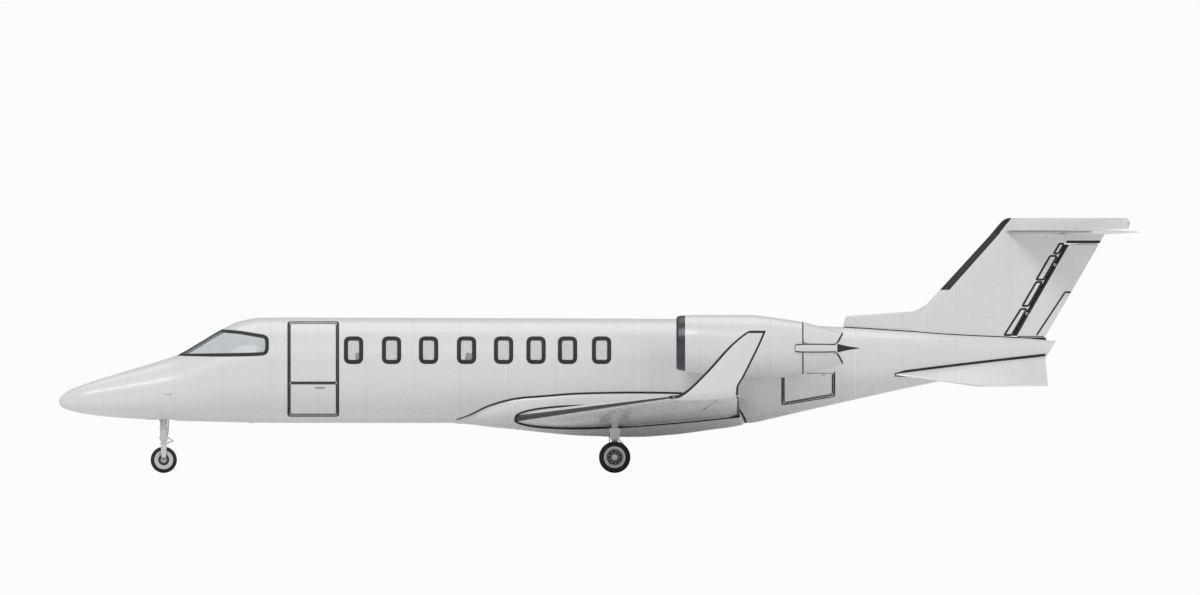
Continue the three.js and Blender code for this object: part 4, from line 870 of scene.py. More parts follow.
def airstair():
    """Treads and risers, set out for the open door and swung shut about its hinge."""
    _, hinge_y, hinge_z = LOWER_HINGE
    foot_out = -float(side_y(DOOR_MIDDLE, DOOR_SPLIT)) - hinge_y
    open_lean = math.atan2(DOOR_SPLIT - hinge_z, -foot_out) - math.radians(DOOR_OPEN)
    parts = []
    for distance in (0.215, 0.430):
        y, z = hinge_y - distance * math.cos(open_lean) + 0.021, hinge_z + distance * math.sin(open_lean)
        parts += [block((DOOR_MIDDLE, y, z + 0.092), (0.56, 0.21, 0.024), 0.12, 10, 48, 2),
                  block((DOOR_MIDDLE, y, z + 0.105), (0.50, 0.16, 0.004), 0.12, 8, 48, 2),
                  block((DOOR_MIDDLE, y + 0.07, z), (0.56, 0.022, 0.19), 0.12, 10, 48, 1)]
    inside = hollow(*DOOR_X, 6, WALL * 0.55)
    return [carve(turned(part, LOWER_HINGE, X_AXIS, -DOOR_OPEN), [inside.copy()], "INTERSECT") for part in parts]


door_shell = shell(np.linspace(DOOR_X[0] - 0.02, DOOR_X[1] + 0.02, 8), 0, WALL, 224)
for (label, (low, high)), hinge in zip(HALVES.items(), (UPPER_HINGE, LOWER_HINGE)):
    panel = carve(door_shell.copy(), [prism(door_outline(-DOOR_GAP, low, high, 0.012), *LEFT)], "INTERSECT")
    skinned(f"cabin_door_{label}", panel, f"door_{label}", f"{label}_door")
    trim = door_outline(-0.019, low + 0.010, high - 0.010, 0.012)
    dark(f"door_{label}_trim", on_left(filled_in(trim, 0.03), DOOR_STRIP), f"{label}_door")
    metal(f"{label}_door_hinges", knuckles(hinge_points(hinge), X_AXIS, OUTER_SPANS), f"{label}_door")
doorway_edge = door_outline(0.014, DOOR_FOOT - 0.014, DOOR_TOP + 0.014, 0.034)
dark("doorway_trim", on_left(filled_in(doorway_edge, 0.03), FRAME_STRIP))
dark("doorway_seal", on_left(filled_in(door_outline(0), 0.03), SEAL_BAR, lift=-0.012))
split_run = level_run(DOOR_X[0] + 0.012, DOOR_X[1] - 0.012, DOOR_SPLIT, 20)
dark("door_split_seal", on_left(split_run, SPLIT_BAR, False, -0.006), "lower_door")
piece("airstair_steps", airstair(), [BARE_METAL, LINING, DARK_PLASTIC], "lower_door", sharp=40)
metal("door_frame_hinges", knuckles(hinge_points(UPPER_HINGE) + hinge_points(LOWER_HINGE), X_AXIS, MIDDLE_SPAN))
handle_out = on_skin([(-4.56, 1.40)], -1.0)[1]
handle_path = on_skin(level_run(-4.66, -4.50, 1.398, 12), -1.0)[0]
metal("door_handle", moulding(handle_path, np.repeat(handle_out, 12, axis=0), flat_bar(0.034, 0.004, 0.006), False),
      "lower_door")

# Aft fuselage with the baggage door, and the tail cone
BAGGAGE = [(3.009, 1.131), (3.837, 1.271), (3.837, 1.640), (3.009, 1.640)]
BAGGAGE_AXIS, BAGGAGE_HINGE = (0.979884, 0.111252, 0.165681), (3.1746, -0.490564, 1.1615)
BAGGAGE_SPREAD = 0.507  # between its two hinges
BAGGAGE_LIFT = np.array([(0, 0.006), (0, 0.006), (0, 0), (0, 0)])  # room at the door's foot for its swing
BAY_FLOOR = [(1.9, 1.12), (4.14, 1.36), (4.14, 1.385), (1.9, 1.145)]
BEHIND_TAIL = [TAIL_TOP, TAIL_FOOT, (7.238, 1.753), (7.7, 1.7), (7.7, 2.3), (7.547, 2.265)]


def grown(outline, amount):
    """A convex outline pushed out from its own middle along both axes."""
    outline = np.asarray(outline, float)
    return outline + np.sign(outline - outline.mean(0)) * amount


aft_rows = mix(CABIN_END + JOINT, CONE_START - JOINT, np.linspace(0, 1, 56))
aft_skin = carve(shell(aft_rows, 0, BAY_WALL), [prism(rounded(BAGGAGE, 0.03), *LEFT)])
bay_walls = [bulkhead(x, 0.012, BAY_WALL - 0.005) for x in (CABIN_END + 0.03, 4.14)]
bay_floor = carve(hollow(1.9, 4.14, 12, BAY_WALL * 0.9), [prism(BAY_FLOOR, -1, 1, mark=1)], "INTERSECT")
skinned("aft_skin", [aft_skin, *bay_walls, bay_floor], "aft_fuselage")
door_edge = rounded(grown(BAGGAGE, -0.009) + BAGGAGE_LIFT, 0.025)
baggage_panel = carve(shell(np.linspace(2.98, 3.87, 16), 0, BAY_WALL, 224), [prism(door_edge, *LEFT)], "INTERSECT")
skinned("baggage_door_panel", baggage_panel, "baggage_door", "baggage_hatch")
baggage_hinges = [np.array(BAGGAGE_HINGE) + np.array(BAGGAGE_AXIS) * away for away in (0.0, BAGGAGE_SPREAD)]
metal("baggage_door_hinges", knuckles(baggage_hinges, BAGGAGE_AXIS, OUTER_SPANS), "baggage_hatch")
metal("baggage_frame_hinges", knuckles(baggage_hinges, BAGGAGE_AXIS, MIDDLE_SPAN))
dark("baggage_seal", on_left(filled_in(rounded(BAGGAGE, 0.03), 0.03), SEAL_BAR, lift=-0.012))
for name, grow, lift, section, body in (("baggage_frame_trim", 0.016, 0, FRAME_STRIP, AIRFRAME),
                                        ("baggage_door_trim", -0.019, 1, DOOR_STRIP, "baggage_hatch")):
    # from the top of the front edge, along the foot, to the top of the rear edge
    edge = np.roll(grown(BAGGAGE, grow) + lift * BAGGAGE_LIFT, 1, axis=0)
    dark(name, on_left(filled_in(rounded(edge, [0, 0.03, 0.03, 0]), 0.03, False), section, False), body)
metal("baggage_latches", [on_left(level_run(x - 0.03, x + 0.03, 1.60, 6), flat_bar(0.028, 0.003, 0.005), False)
                          for x in (3.17, 3.67)], "baggage_hatch")

cone_rows = np.concatenate([np.linspace(CONE_START + JOINT, 7.2, 44), np.linspace(7.22, TAIL_TOP[0] + 0.02, 14)])
tail_end = carve(capped(skin(cone_rows[:, None], full_turn)), [prism(BEHIND_TAIL, -0.4, 0.4)])
skinned("tail_cone_skin", tail_end, "tail_cone", materials=[TAIL_PAINT, LINING, BLACK_EDGE])

# Wing/body fairing: a squashed oval under the cabin, its upper edge faired into the fuselage
FAIRING = [  # x, top, bottom, half width
    (-2.370, 0.832, 0.812, 0.060), (-2.124, 0.918, 0.795, 0.400), (-1.796, 1.074, 0.754, 0.622),
    (-1.304, 1.197, 0.705, 0.732), (-0.894, 1.230, 0.660, 0.760), (-0.320, 1.271, 0.612, 0.782),
    (0.600, 1.287, 0.590, 0.792), (1.238, 1.279, 0.631, 0.788), (1.800, 1.200, 0.705, 0.745),
    (2.304, 0.984, 0.780, 0.540), (2.366, 0.850, 0.800, 0.200)]
FAIRING_POWER, LIP_RISE = 2.5, 0.030
fairing_lines = smooth_table(FAIRING)


def fairing_surface():
    """Across: sine and cosine raised to 2/2.5, below the upper edge; then a short lip that leans on the fuselage."""
    x = mix(FAIRING[0][0], FAIRING[-1][0], (1 - np.cos(np.linspace(0, np.pi, 90))) / 2)[:, None]
    top, bottom, half = fairing_lines(x)
    turn = np.linspace(-np.pi / 2, np.pi / 2, 65)[None]
    soft = 2 / FAIRING_POWER
    body = points(x, half * power(np.sin(turn), soft), top - (top - bottom) * np.abs(np.cos(turn)) ** soft)
    share = np.linspace(0.25, 1, 4)[None]
    lip_z = top + share * LIP_RISE
    lip_y = mix(half, np.minimum(side_y(x, lip_z, 0.004), half), share ** 0.6)
    left, right = [points(x, sign * lip_y, lip_z) for sign in (-1, 1)]
    return capped(np.concatenate([left[:, ::-1], body, right], axis=1))


def fairing_line(sign):
    """Just above the fairing's upper edge on the skin, then in a curve to the keel behind it."""
    x = mix(-2.33, 2.27, np.linspace(0, 1, 120))
    z = fairing_lines(x)[0]
    rise = unit(np.stack([-np.gradient(z, x), np.ones(120)], axis=-1))
    x, z = (np.stack([x, z], axis=-1) + 0.032 * rise).T
    top, bottom, _ = fuselage_lines(x)
    turn = np.arccos((2 * z - top - bottom) / (top - bottom))
    onward = np.linspace(0, 1, 40)[1:]
    turn = np.concatenate([turn, mix(turn[-1], np.pi, onward)])
    place = skin(np.concatenate([x, mix(x[-1], 2.398, 1 - (1 - onward) ** 3)]), sign * turn)
    return place, unit(skin_normal(place))


piece("belly_fairing", fairing_surface(), [BODY_PAINT], AIRFRAME, "wing_body_fairing", sharp=60)
sealants = [moulding(*fairing_line(sign), flat_bar(0.036, 0.003, 0.012), False) for _, sign in SIDES]

# Wings: straight from root to tip, with a symmetrical section
TRAIL_HALF = 0.004
WING = [  # half span, lead x, trail x, lead z, trail z, thickness
    (0.600, -1.395, 2.304, 0.896, 0.950, 0.330), (7.000, 1.123, 2.280, 1.235, 1.245, 0.104)]
FLAP = {"inner": 0.905, "outer": 4.240, "share": 0.76, "nose": 0.022, "hinges": (1.500, 3.650)}
AILERON = {"inner": 4.268, "outer": 6.700, "share": 0.76, "nose": 0.0, "hinges": (4.700, 6.250)}
RUN, END_GAP = 0.007, 0.012  # room ahead of a control surface's nose and beside its ends
wing_lines = straight_table(WING)


def chord_loop(count=30):
    """Shares of the chord round a section, closer together at the nose, and the side of each: +1 above, -1 below."""
    spread = (1 - np.cos(np.linspace(0, np.pi, count))) / 2
    return np.concatenate([spread[::-1], spread[1:]]), np.concatenate([np.ones(count), -np.ones(count - 1)])


LOOP_F, LOOP_SIDE = chord_loop()
loop_middle = (LOOP_F + np.roll(LOOP_F, -1)) / 2


def section_half(f, thick):
    """Half thickness of a four-digit section at a share of the chord, with a blunt trailing edge."""
    return 5 * (0.2969 * np.sqrt(f) - 0.126 * f - 0.3516 * f ** 2 + 0.2843 * f ** 3
                - 0.1036 * f ** 4) * thick + TRAIL_HALF * f


def loop_heights(thick, f=LOOP_F):
    """Distance from the chord line of each point round the section."""
    return LOOP_SIDE * section_half(f, thick)


def edge_marks(rows, share, trail=1.0):
    """Material index of each strip round the section: 1 round the nose and behind a share of the chord."""
    edge = (loop_middle < share) | (loop_middle > trail)
    return np.broadcast_to(np.where(edge, 1, 0), (rows - 1, len(LOOP_F)))


def wing_height(y, f, side):
    _, _, lead_z, trail_z, thick = wing_lines(y)
    return mix(lead_z, trail_z, f) + side * section_half(f, thick)


def wing_grid(y):
    """Section points at each half span: the chord line plus the half thickness up or down."""
    y = np.asarray(y, float)[:, None]
    lead, trail = wing_lines(y)[:2]
    return points(mix(lead, trail, LOOP_F), y, wing_height(y, LOOP_F, LOOP_SIDE))


def hinge_place(y, spec):
    """Centre of a control surface's nose: on the chord for a round nose, near the lower skin for a small one."""
    lead, trail, lead_z, trail_z, thick = wing_lines(y)
    f = spec["share"]
    half, middle = section_half(f, thick), mix(lead_z, trail_z, f)
    return mix(lead, trail, f), middle - half + spec["nose"] if spec["nose"] else middle, half


def hinge_run(spec):
    """Straight hinge line between the ends of a control surface: its start, direction, and the way forward."""
    ends = [np.array([float(hinge_place(y, spec)[0]), y, float(hinge_place(y, spec)[1])])
            for y in (spec["inner"], spec["outer"])]
    axis = unit(ends[1] - ends[0])
    return ends[0], axis, unit(np.array([-1.0, 0, 0]) + axis * axis[0])


def point_at(run, y):
    start, axis = run[:2]
    return start + axis * (y - start[1]) / axis[1]


def wing_surface_grid(spec, y):
    """A control surface: its round nose about the hinge line, then the wing's own skins to the trailing edge."""
    y = np.asarray(y, float)[:, None]
    lead, trail = wing_lines(y)[:2]
    start, axis, _ = hinge_run(spec)
    along = (y - start[1]) / axis[1]
    x, z = start[0] + axis[0] * along, start[2] + axis[2] * along
    if spec["nose"]:
        nose, turn = spec["nose"], np.linspace(np.pi, 1.5 * np.pi, 8)[None]
        first = x - nose
    else:
        nose, turn = hinge_place(y, spec)[2], np.linspace(0.5 * np.pi, 1.5 * np.pi, 15)[None]
        first = x
    start_f = (first - lead) / (trail - lead)
    f = start_f + (1 - start_f) * np.linspace(1, 0.02, 18)[None]
    under_f = spec["share"] + (1 - spec["share"]) * np.linspace(0.04, 1, 16)[None]
    upper = points(mix(lead, trail, f), y, wing_height(y, f, 1))
    lower = points(mix(lead, trail, under_f), y, wing_height(y, under_f, -1))
    arc = points(x + nose * np.cos(turn), y, z + nose * np.sin(turn))
    return np.concatenate([upper, arc, lower], axis=1)


def bay_cutter(spec):
    """Everything behind a control surface's nose, between its end gaps."""
    def edge(y):
        x, _, half = hinge_place(y, spec)
        return float(x - (spec["nose"] or half) - RUN)
    inner, outer, behind = spec["inner"] - END_GAP, spec["outer"] + END_GAP, 2.6
    return prism([(edge(inner), inner), (behind, inner), (behind, outer), (edge(outer), outer)], 0.5, 1.7, "xy")


def oriented_box(at, forward, axis, reach, wide, thick, mark=0):
    """A flat bar laid out from a point: along forward, across along the axis, thick along their normal."""
    up = unit(np.cross(forward, axis))
    corner = np.array([(a, b, c) for a in reach for b in (-wide, wide) for c in (-thick, thick)])
    place = at + corner[:, :1] * forward + corner[:, 1:2] * axis + corner[:, 2:] * up
    return capped(np.stack([place[[0, 1, 3, 2]], place[[4, 5, 7, 6]]]), mark)


def hinge_parts(at, axis, forward, reach, eye=0.014, bolt=0.006):
    """A hinge on a control surface: an arm with an eye on the fixed side, a bolt across a slot, the slot's cutter."""
    half, behind = 0.010, 0.006
    arm = [oriented_box(at, forward, axis, (0, reach), half, eye * 0.7),
           rod(at - axis * half, at + axis * half, eye, 18)]
    slot = oriented_box(at, forward, axis, (-eye - behind, reach), half + 0.006, 0.2, 2)
    return arm, rod(at - axis * (half + 0.016), at + axis * (half + 0.016), bolt, 12), slot


def hinged(shape, hinges):
    """A control surface with its hinge slots cut, and the arms and bolts of its hinges."""
    arms, bolts = [], []
    for arm, bolt, slot in hinges:
        shape = carve(shape, [slot])
        arms += arm
        bolts.append(bolt)
    return shape, arms, bolts


def wing_foot(sign, lift=0.022):
    """Where the wing, thickened by a lift, meets the fairing: the half span follows the fairing's width in turn."""
    y = np.full(LOOP_F.shape, 0.75)
    for _ in range(30):
        lead, trail = wing_lines(y)[:2]
        x, z = mix(lead, trail, LOOP_F), wing_height(y, LOOP_F, LOOP_SIDE) + LOOP_SIDE * lift
        top, bottom, half = fairing_lines(x)
        share = np.clip((top - z) / (top - bottom), 0, 0.98)
        y = np.maximum(half * (1 - share ** FAIRING_POWER) ** (1 / FAIRING_POWER), WING[0][0])
    slope_y, slope_z = (np.minimum(y / half, 1)) ** 1.5 / half, -share ** 1.5 / (top - bottom)
    return points(x, sign * y, z), unit(points(0 * x, sign * slope_y, slope_z))


sealants += [moulding(*wing_foot(sign), flat_bar(0.030, 0.004, 0.02), False) for _, sign in SIDES]
dark("fairing_sealant", sealants, sharp=60)
wing_rows = np.concatenate([np.linspace(0.6, 6.95, 60), [6.98, 7.0]])
wing_shape = carve(capped(wing_grid(wing_rows), edge_marks(len(wing_rows), 0.010, 0.975)),
                   [bay_cutter(FLAP), bay_cutter(AILERON)])
both("wing_skin", wing_shape, [SURFACE_PAINT, BLACK_EDGE, DARK_PLASTIC], AIRFRAME, "wing", 40)
wing_arms = []
for name, spec in (("flap", FLAP), ("aileron", AILERON)):
    run = hinge_run(spec)
    grid = wing_surface_grid(spec, np.linspace(spec["inner"], spec["outer"], 30))
    column = np.arange(grid.shape[1])
    at_trail = (column < 1) | (column > grid.shape[1] - 3)
    reaches = [(spec["nose"] or float(hinge_place(y, spec)[2])) + RUN + 0.025 for y in spec["hinges"]]
    shape, arms, bolts = hinged(capped(grid, np.where(at_trail, 1, 0)[None]), [
        hinge_parts(point_at(run, y), run[1], run[2], reach) for y, reach in zip(spec["hinges"], reaches)])
    wing_arms += arms
    both(f"{name}_skin", shape, [SURFACE_PAINT, BLACK_EDGE, DARK_PLASTIC], f"{name}_surface", name, 40)
    both(f"{name}_bolts", bolts, [BARE_METAL], f"{name}_surface")
both("hinge_arms", wing_arms, [BARE_METAL])

WINGLET = [  # half span, z, lead x, trail x, thickness, lean of the span in degrees
    (7.0003, 1.240, 1.123, 2.280, 0.104, 0), (7.070, 1.252, 1.235, 2.276, 0.098, 22),
    (7.130, 1.300, 1.350, 2.273, 0.088, 50), (7.165, 1.385, 1.466, 2.276, 0.072, 70),
    (7.200, 1.600, 1.690, 2.384, 0.058, 80), (7.290, 2.296, 2.390, 2.716, 0.030, 82),
    (7.294, 2.334, 2.460, 2.730, 0.020, 82)]
STRIP_SHARE = float(LOOP_F[(LOOP_F > 0.04) & (LOOP_F < 0.06)][0])  # last section point before an edge strip ends
LEAD_STRIP, TRAIL_STRIP = 0.048, 0.036


def winglet_grid():
    """Section stood square to the leaning span, which turns upwards through the rows of the table.

    The section's points are spread so that the same ones stay a strip's width from the edges at every chord."""
    data = np.array(WINGLET)
    run = np.concatenate([[0], np.cumsum(np.hypot(np.diff(data[:, 0]), np.diff(data[:, 1])))])
    rows = np.concatenate([np.linspace(0, run[4], 26), np.linspace(run[4], run[5], 22)[1:],
                           np.linspace(run[5], run[6], 8)[1:]])[:, None]
    y, z, lead, trail, thick, lean = [smooth_line(run, column)(rows) for column in data.T]
    lead_share, trail_share = LEAD_STRIP / (trail - lead), TRAIL_STRIP / (trail - lead)
    inside = (LOOP_F[None] - STRIP_SHARE) / (1 - 2 * STRIP_SHARE)
    behind = np.where(inside > 1, 1 - (1 - LOOP_F) * trail_share / STRIP_SHARE,
                      mix(lead_share, 1 - trail_share, inside))
    f = np.where(inside < 0, LOOP_F * lead_share / STRIP_SHARE, behind)
    height, lean = loop_heights(thick, f), np.radians(lean)
    return points(mix(lead, trail, f), y - height * np.sin(lean), z + height * np.cos(lean))


winglet = winglet_grid()
in_strip = (loop_middle < STRIP_SHARE) | (loop_middle > 1 - STRIP_SHARE)
at_top = winglet[:-1, :1, 2] > WINGLET[5][1] - 0.001
both("winglet_skin", capped(winglet, np.where(in_strip[None] | at_top, 1, 0), (0, 1)), [SURFACE_PAINT, BLACK_EDGE],
     AIRFRAME, "winglet", 40)
both("tip_light", block((1.236, 7.050, 1.2445), (0.07, 0.040, 0.020), 0.8, 14, 28), [CLEAR_LENS])
both("rear_light", block((2.262, 7.10, 1.268), (0.07, 0.03, 0.026), 0.8, 10, 20), [CLEAR_LENS])

# Tail: fin, rudder, stabilizer with its cap, and the splayed fins below
FIN = [(2.100, 4.758, 7.230, 0.240), (3.935, 6.436, 8.296, 0.160)]  # z, lead x, trail x, thickness
RUDDER_FOOT, RUDDER_HEAD, RUDDER_TRAIL = (6.831, 2.247), (7.690, 3.750), (7.318, 8.190)
RUDDER_HINGE_Z, RUDDER_HEAD_GAP = (2.600, 3.400), 0.062
RUDDER_DIP = 0.020  # how far its foot dips on one side when it swings
DORSAL = [  # x, crest z, half width at the foot, half width at the crest
    (4.002, 2.575, 0.092, 0.062), (4.272, 2.590, 0.092, 0.056), (4.928, 2.636, 0.090, 0.044),
    (5.124, 2.652, 0.088, 0.040), (5.256, 2.706, 0.086, 0.034), (5.453, 2.837, 0.080, 0.026),
    (5.640, 3.040, 0.060, 0.016)]
DORSAL_SLANT, DORSAL_MIDDLE = 0.315, 2.45  # its front edge leans back about this height
EDGE_STRIP_FOOT = 3.0  # the fin's dark leading edge starts at this height
HEAD_SEAL = [(7.640, 3.767), (8.204, 3.767), (8.224, 3.813), (7.666, 3.813)]
SKIRTS = ([(6.850, 2.232), (7.290, 2.232), (7.296, 2.260), (6.858, 2.260)],
          [(7.716, 3.740), (8.160, 3.740), (8.168, 3.762), (7.834, 3.762), (7.828, 3.757), (7.722, 3.757)])
fin_lines = straight_table(FIN)
rudder_axis = unit(np.array([RUDDER_HEAD[0] - RUDDER_FOOT[0], 0, RUDDER_HEAD[1] - RUDDER_FOOT[1]]))
rudder_forward = np.array([-rudder_axis[2], 0, rudder_axis[0]])


def fin_half(z, x):
    """Half thickness of the fin at a height and station: the section for its share of the chord."""
    lead, trail, thick = fin_lines(z)
    return section_half(np.clip((x - lead) / (trail - lead), 0, 1), thick)


def fin_grid(z):
    z = np.asarray(z, float)[:, None]
    lead, trail, thick = fin_lines(z)
    return points(mix(lead, trail, LOOP_F), loop_heights(thick), z)


def rudder_line(z):
    """Station of the rudder's hinge line, its half thickness and its trailing edge at a height."""
    share = (z - RUDDER_FOOT[1]) / (RUDDER_HEAD[1] - RUDDER_FOOT[1])
    x = mix(RUDDER_FOOT[0], RUDDER_HEAD[0], share)
    return x, fin_half(z, x), mix(*RUDDER_TRAIL, share)


def rudder_nose(z):
    """Station of the room kept ahead of the rudder's round nose."""
    x, half, _ = rudder_line(z)
    return float(x - (half + RUN) / rudder_axis[2])


def rudder_half(z, x):
    line_x, half, trail = rudder_line(z)
    return mix(half, TRAIL_HALF, np.clip((x - line_x) / (trail - line_x), 0, 1))


def rudder_grid(z):
    """A round nose about the hinge line, then sides that narrow straight to the trailing edge."""
    z = np.asarray(z, float)[:, None]
    x, half, trail = rudder_line(z)
    turn = np.linspace(0.5 * np.pi, 1.5 * np.pi, 17)[None]
    arc = points(x + half * np.cos(turn) / rudder_axis[2], half * np.sin(turn), z)
    share = np.linspace(1, 0.03, 14)[None]
    flank = points(mix(x, trail, share), mix(half, TRAIL_HALF, share), z)
    return np.concatenate([flank, arc, flank[:, ::-1] * (1, -1, 1)], axis=1)


def rudder_bay():
    """Everything behind the rudder's nose, from below its foot to just above its head."""
    low, high, behind = RUDDER_FOOT[1] - 0.2, RUDDER_HEAD[1] + RUDDER_HEAD_GAP, 8.6
    return prism([(rudder_nose(low), low), (behind, low), (behind, high), (rudder_nose(high), high)], -0.3, 0.3)


def dorsal_grid():
    """A ridge with rounded shoulders: half width from foot to crest by a quarter ellipse, over the crown."""
    x = np.linspace(DORSAL[0][0], DORSAL[-1][0], 60)[:, None]
    crest, foot, top = smooth_table(DORSAL)(x)
    base = fuselage_lines(x)[0] - 0.12
    turn = np.linspace(0, np.pi, 21)[None]
    arch = points(x, top * power(np.cos(turn), 0.7), crest - top * 0.5 * (1 - np.abs(np.sin(turn)) ** 0.7))
    side = np.linspace(0, 1, 8)[None]
    right = points(x, mix(foot, top, side), mix(base, crest - top * 0.5, side))[:, :-1]
    ridge = np.concatenate([right, arch, (right * (1, -1, 1))[:, ::-1]], axis=1)
    front = np.clip(1 - (x - DORSAL[0][0]) / 0.25, 0, 1)
    ridge[..., 0] += DORSAL_SLANT * (ridge[..., 2] - DORSAL_MIDDLE) * front
    return ridge


def flank_strip(line, half_at, sign, width, proud=0.0015, joined=False):
    """A thin dark strip along a line of x, z points on a flank that is half_at(z, x) thick."""
    x, z = np.asarray(line, float).T
    outward = np.tile((0.0, sign, 0.0), (len(x), 1))
    return moulding(points(x, sign * half_at(z, x), z), outward, flat_bar(width, proud, 0.004), joined)


def line_between(a, b, count):
    return mix(np.array(a), np.array(b), np.linspace(0, 1, count)[:, None])


# Hinge cover panels ahead of the rudder, with gaps between them, and the rudder's trim tab
COVERS = [  # foot z, its front x, head z, its front x of each panel on the fin
    (2.263, 6.640, 2.690, 6.910), (2.740, 6.935, 3.130, 7.160), (3.170, 7.165, 3.560, 7.390),
    (3.600, 7.450, 3.760, 7.545)]
TAB = [(7.168, 2.262), (7.632, 2.965), (7.730, 2.965)]
COVER_GAP = 0.012


def cover_outline(foot, foot_x, head, head_x):
    """A panel from its front edge back to just ahead of the rudder's nose."""
    behind = [rudder_nose(z) - COVER_GAP for z in (foot, head)]
    return filled_in(np.array([(foot_x, foot), (behind[0], foot), (behind[1], head), (head_x, head)]), 0.03)


fin_rows = np.linspace(2.10, 3.935, 60)
fin_marks = np.where((fin_rows[:-1, None] > EDGE_STRIP_FOOT) & (edge_marks(60, 0.062) > 0), 1, 0)
fin_shape = carve(capped(fin_grid(fin_rows), fin_marks), [rudder_bay()])
rudder_rows = rudder_grid(np.linspace(RUDDER_FOOT[1], RUDDER_HEAD[1], 50))
nose_marks = np.where(np.abs(np.arange(rudder_rows.shape[1]) - 21.5) < 9, 1, 0)[None]
hinges = []
for z in RUDDER_HINGE_Z:
    x, half, _ = rudder_line(z)
    hinges.append(hinge_parts(np.array([float(x), 0, z]), rudder_axis, rudder_forward, float(half) + RUN + 0.03))
rudder_shape, fin_arms, rudder_bolts = hinged(capped(rudder_rows, nose_marks, (0, 1)), hinges)
foot_section = rudder_rows[0] * (1, 1, 0)
foot_fairing = capped(np.stack([foot_section + (0, 0, 2.10), foot_section + (0, 0, RUDDER_FOOT[1] - RUDDER_DIP)]))
inlet = carve(capped(dorsal_grid()), [block((4.0, 0, 2.505), (0.16, 0.10, 0.13), 0.35, 12, 28, 1)])
head_seal = carve(capped(fin_grid([3.75, 3.83])), [prism(HEAD_SEAL, -0.2, 0.2, mark=0)], "INTERSECT")
piece("fin_skin", fin_shape, [TAIL_PAINT, BLACK_EDGE, DARK_PLASTIC], AIRFRAME, "fin", 40)
piece("dorsal_ridge", inlet, [TAIL_PAINT, DARK_PLASTIC, DARK_SEAL], sharp=40)
piece("rudder_skin", rudder_shape, [TAIL_PAINT, BLACK_EDGE, DARK_PLASTIC], "rudder_surface", "rudder", 40)
dark("rudder_head_seal", head_seal, sharp=40)
dark("rudder_foot_fairing", foot_fairing, sharp=40)
dark("rudder_gap_seals", [prism(skirt, -0.005, 0.005, mark=0) for skirt in SKIRTS], "rudder_surface", 40)
piece("rudder_arms", fin_arms, [DARK_PLASTIC])
metal("rudder_bolts", rudder_bolts, "rudder_surface")
for label, sign in SIDES:
    covers = [flank_strip(cover_outline(*cover), fin_half, sign, 0.034, 0.002, True) for cover in COVERS]
    dark(f"hinge_covers_{label}", covers, sharp=60)
    tab = [flank_strip(line_between(*ends, count), rudder_half, sign, 0.030)
           for ends, count in ((TAB[:2], 24), (TAB[1:], 6))]
    dark(f"trim_tab_lines_{label}", tab, "rudder_surface", 60)

STABILIZER = [  # half span, lead x, trail x, thickness
    (0.0, 6.650, 8.350, 0.136), (2.540, 7.974, 8.845, 0.064), (2.600, 8.060, 8.864, 0.040)]
STABILIZER_Z = 3.952
ELEVATOR = {"inner": 0.150, "outer": 2.530, "share": 0.72, "hinges": (0.420, 2.000)}
stabilizer_lines = straight_table(STABILIZER)


def stabilizer_grid(y):
    y = np.asarray(y, float)[:, None]
    lead, trail, thick = stabilizer_lines(np.abs(y))
    return points(mix(lead, trail, LOOP_F), y, STABILIZER_Z + loop_heights(thick))


def elevator_place(y):
    lead, trail, thick = stabilizer_lines(y)
    return mix(lead, trail, ELEVATOR["share"]), section_half(ELEVATOR["share"], thick), trail


elevator_ends = [np.array([float(elevator_place(ELEVATOR[end])[0]), ELEVATOR[end], STABILIZER_Z])
                 for end in ("inner", "outer")]
elevator_axis = unit(elevator_ends[1] - elevator_ends[0])
elevator_forward = np.array([-elevator_axis[1], elevator_axis[0], 0])


def elevator_grid(y):
    """A round nose about the hinge line, then the stabilizer's own skins to the trailing edge."""
    y = np.asarray(y, float)[:, None]
    _, half, trail = elevator_place(y)
    x = elevator_ends[0][0] + elevator_axis[0] * (y - ELEVATOR["inner"]) / elevator_axis[1]
    turn = np.linspace(0.5 * np.pi, 1.5 * np.pi, 15)[None]
    arc = points(x + half * np.cos(turn) / elevator_axis[1], y, STABILIZER_Z + half * np.sin(turn))
    share = np.linspace(1, 0.03, 14)[None]
    above, below = [points(mix(x, trail, share), y, STABILIZER_Z + way * mix(half, TRAIL_HALF, share))
                    for way in (1, -1)]
    return np.concatenate([above, arc, below[:, ::-1]], axis=1)


def elevator_bay():
    def edge(y):
        x, half, _ = elevator_place(y)
        return float(x - half / elevator_axis[1] - RUN)
    inner, outer, behind = ELEVATOR["inner"] - 0.016, ELEVATOR["outer"] + END_GAP, 9.2
    return prism([(edge(inner), inner), (behind, inner), (behind, outer), (edge(outer), outer)], 3.7, 4.3, "xy")


tail_rows = np.concatenate([[-2.6, -2.585], np.linspace(-2.54, 2.54, 81), [2.585, 2.6]])
tail_plane = carve(capped(stabilizer_grid(tail_rows), edge_marks(len(tail_rows), 0.04)), paired(elevator_bay()))
hinges = []
for y in ELEVATOR["hinges"]:
    half = float(elevator_place(y)[1])
    hinges.append(hinge_parts(point_at((elevator_ends[0], elevator_axis), y), elevator_axis, elevator_forward,
                              half + RUN + 0.03, min(0.014, half - 0.004), 0.005))
elevator_shape, tail_arms, elevator_bolts = hinged(
    capped(elevator_grid(np.linspace(ELEVATOR["inner"], ELEVATOR["outer"], 30))), hinges)
piece("stabilizer_skin", tail_plane, [TAIL_PAINT, POLISHED, DARK_PLASTIC], AIRFRAME, "stabilizer", 40)
both("elevator_skin", elevator_shape, [TAIL_PAINT, BLACK_EDGE, DARK_PLASTIC], "elevator_surface", "elevator",
     40)
both("elevator_bolts", elevator_bolts, [BARE_METAL], "elevator_surface")
both("elevator_arms", tail_arms, [BARE_METAL])

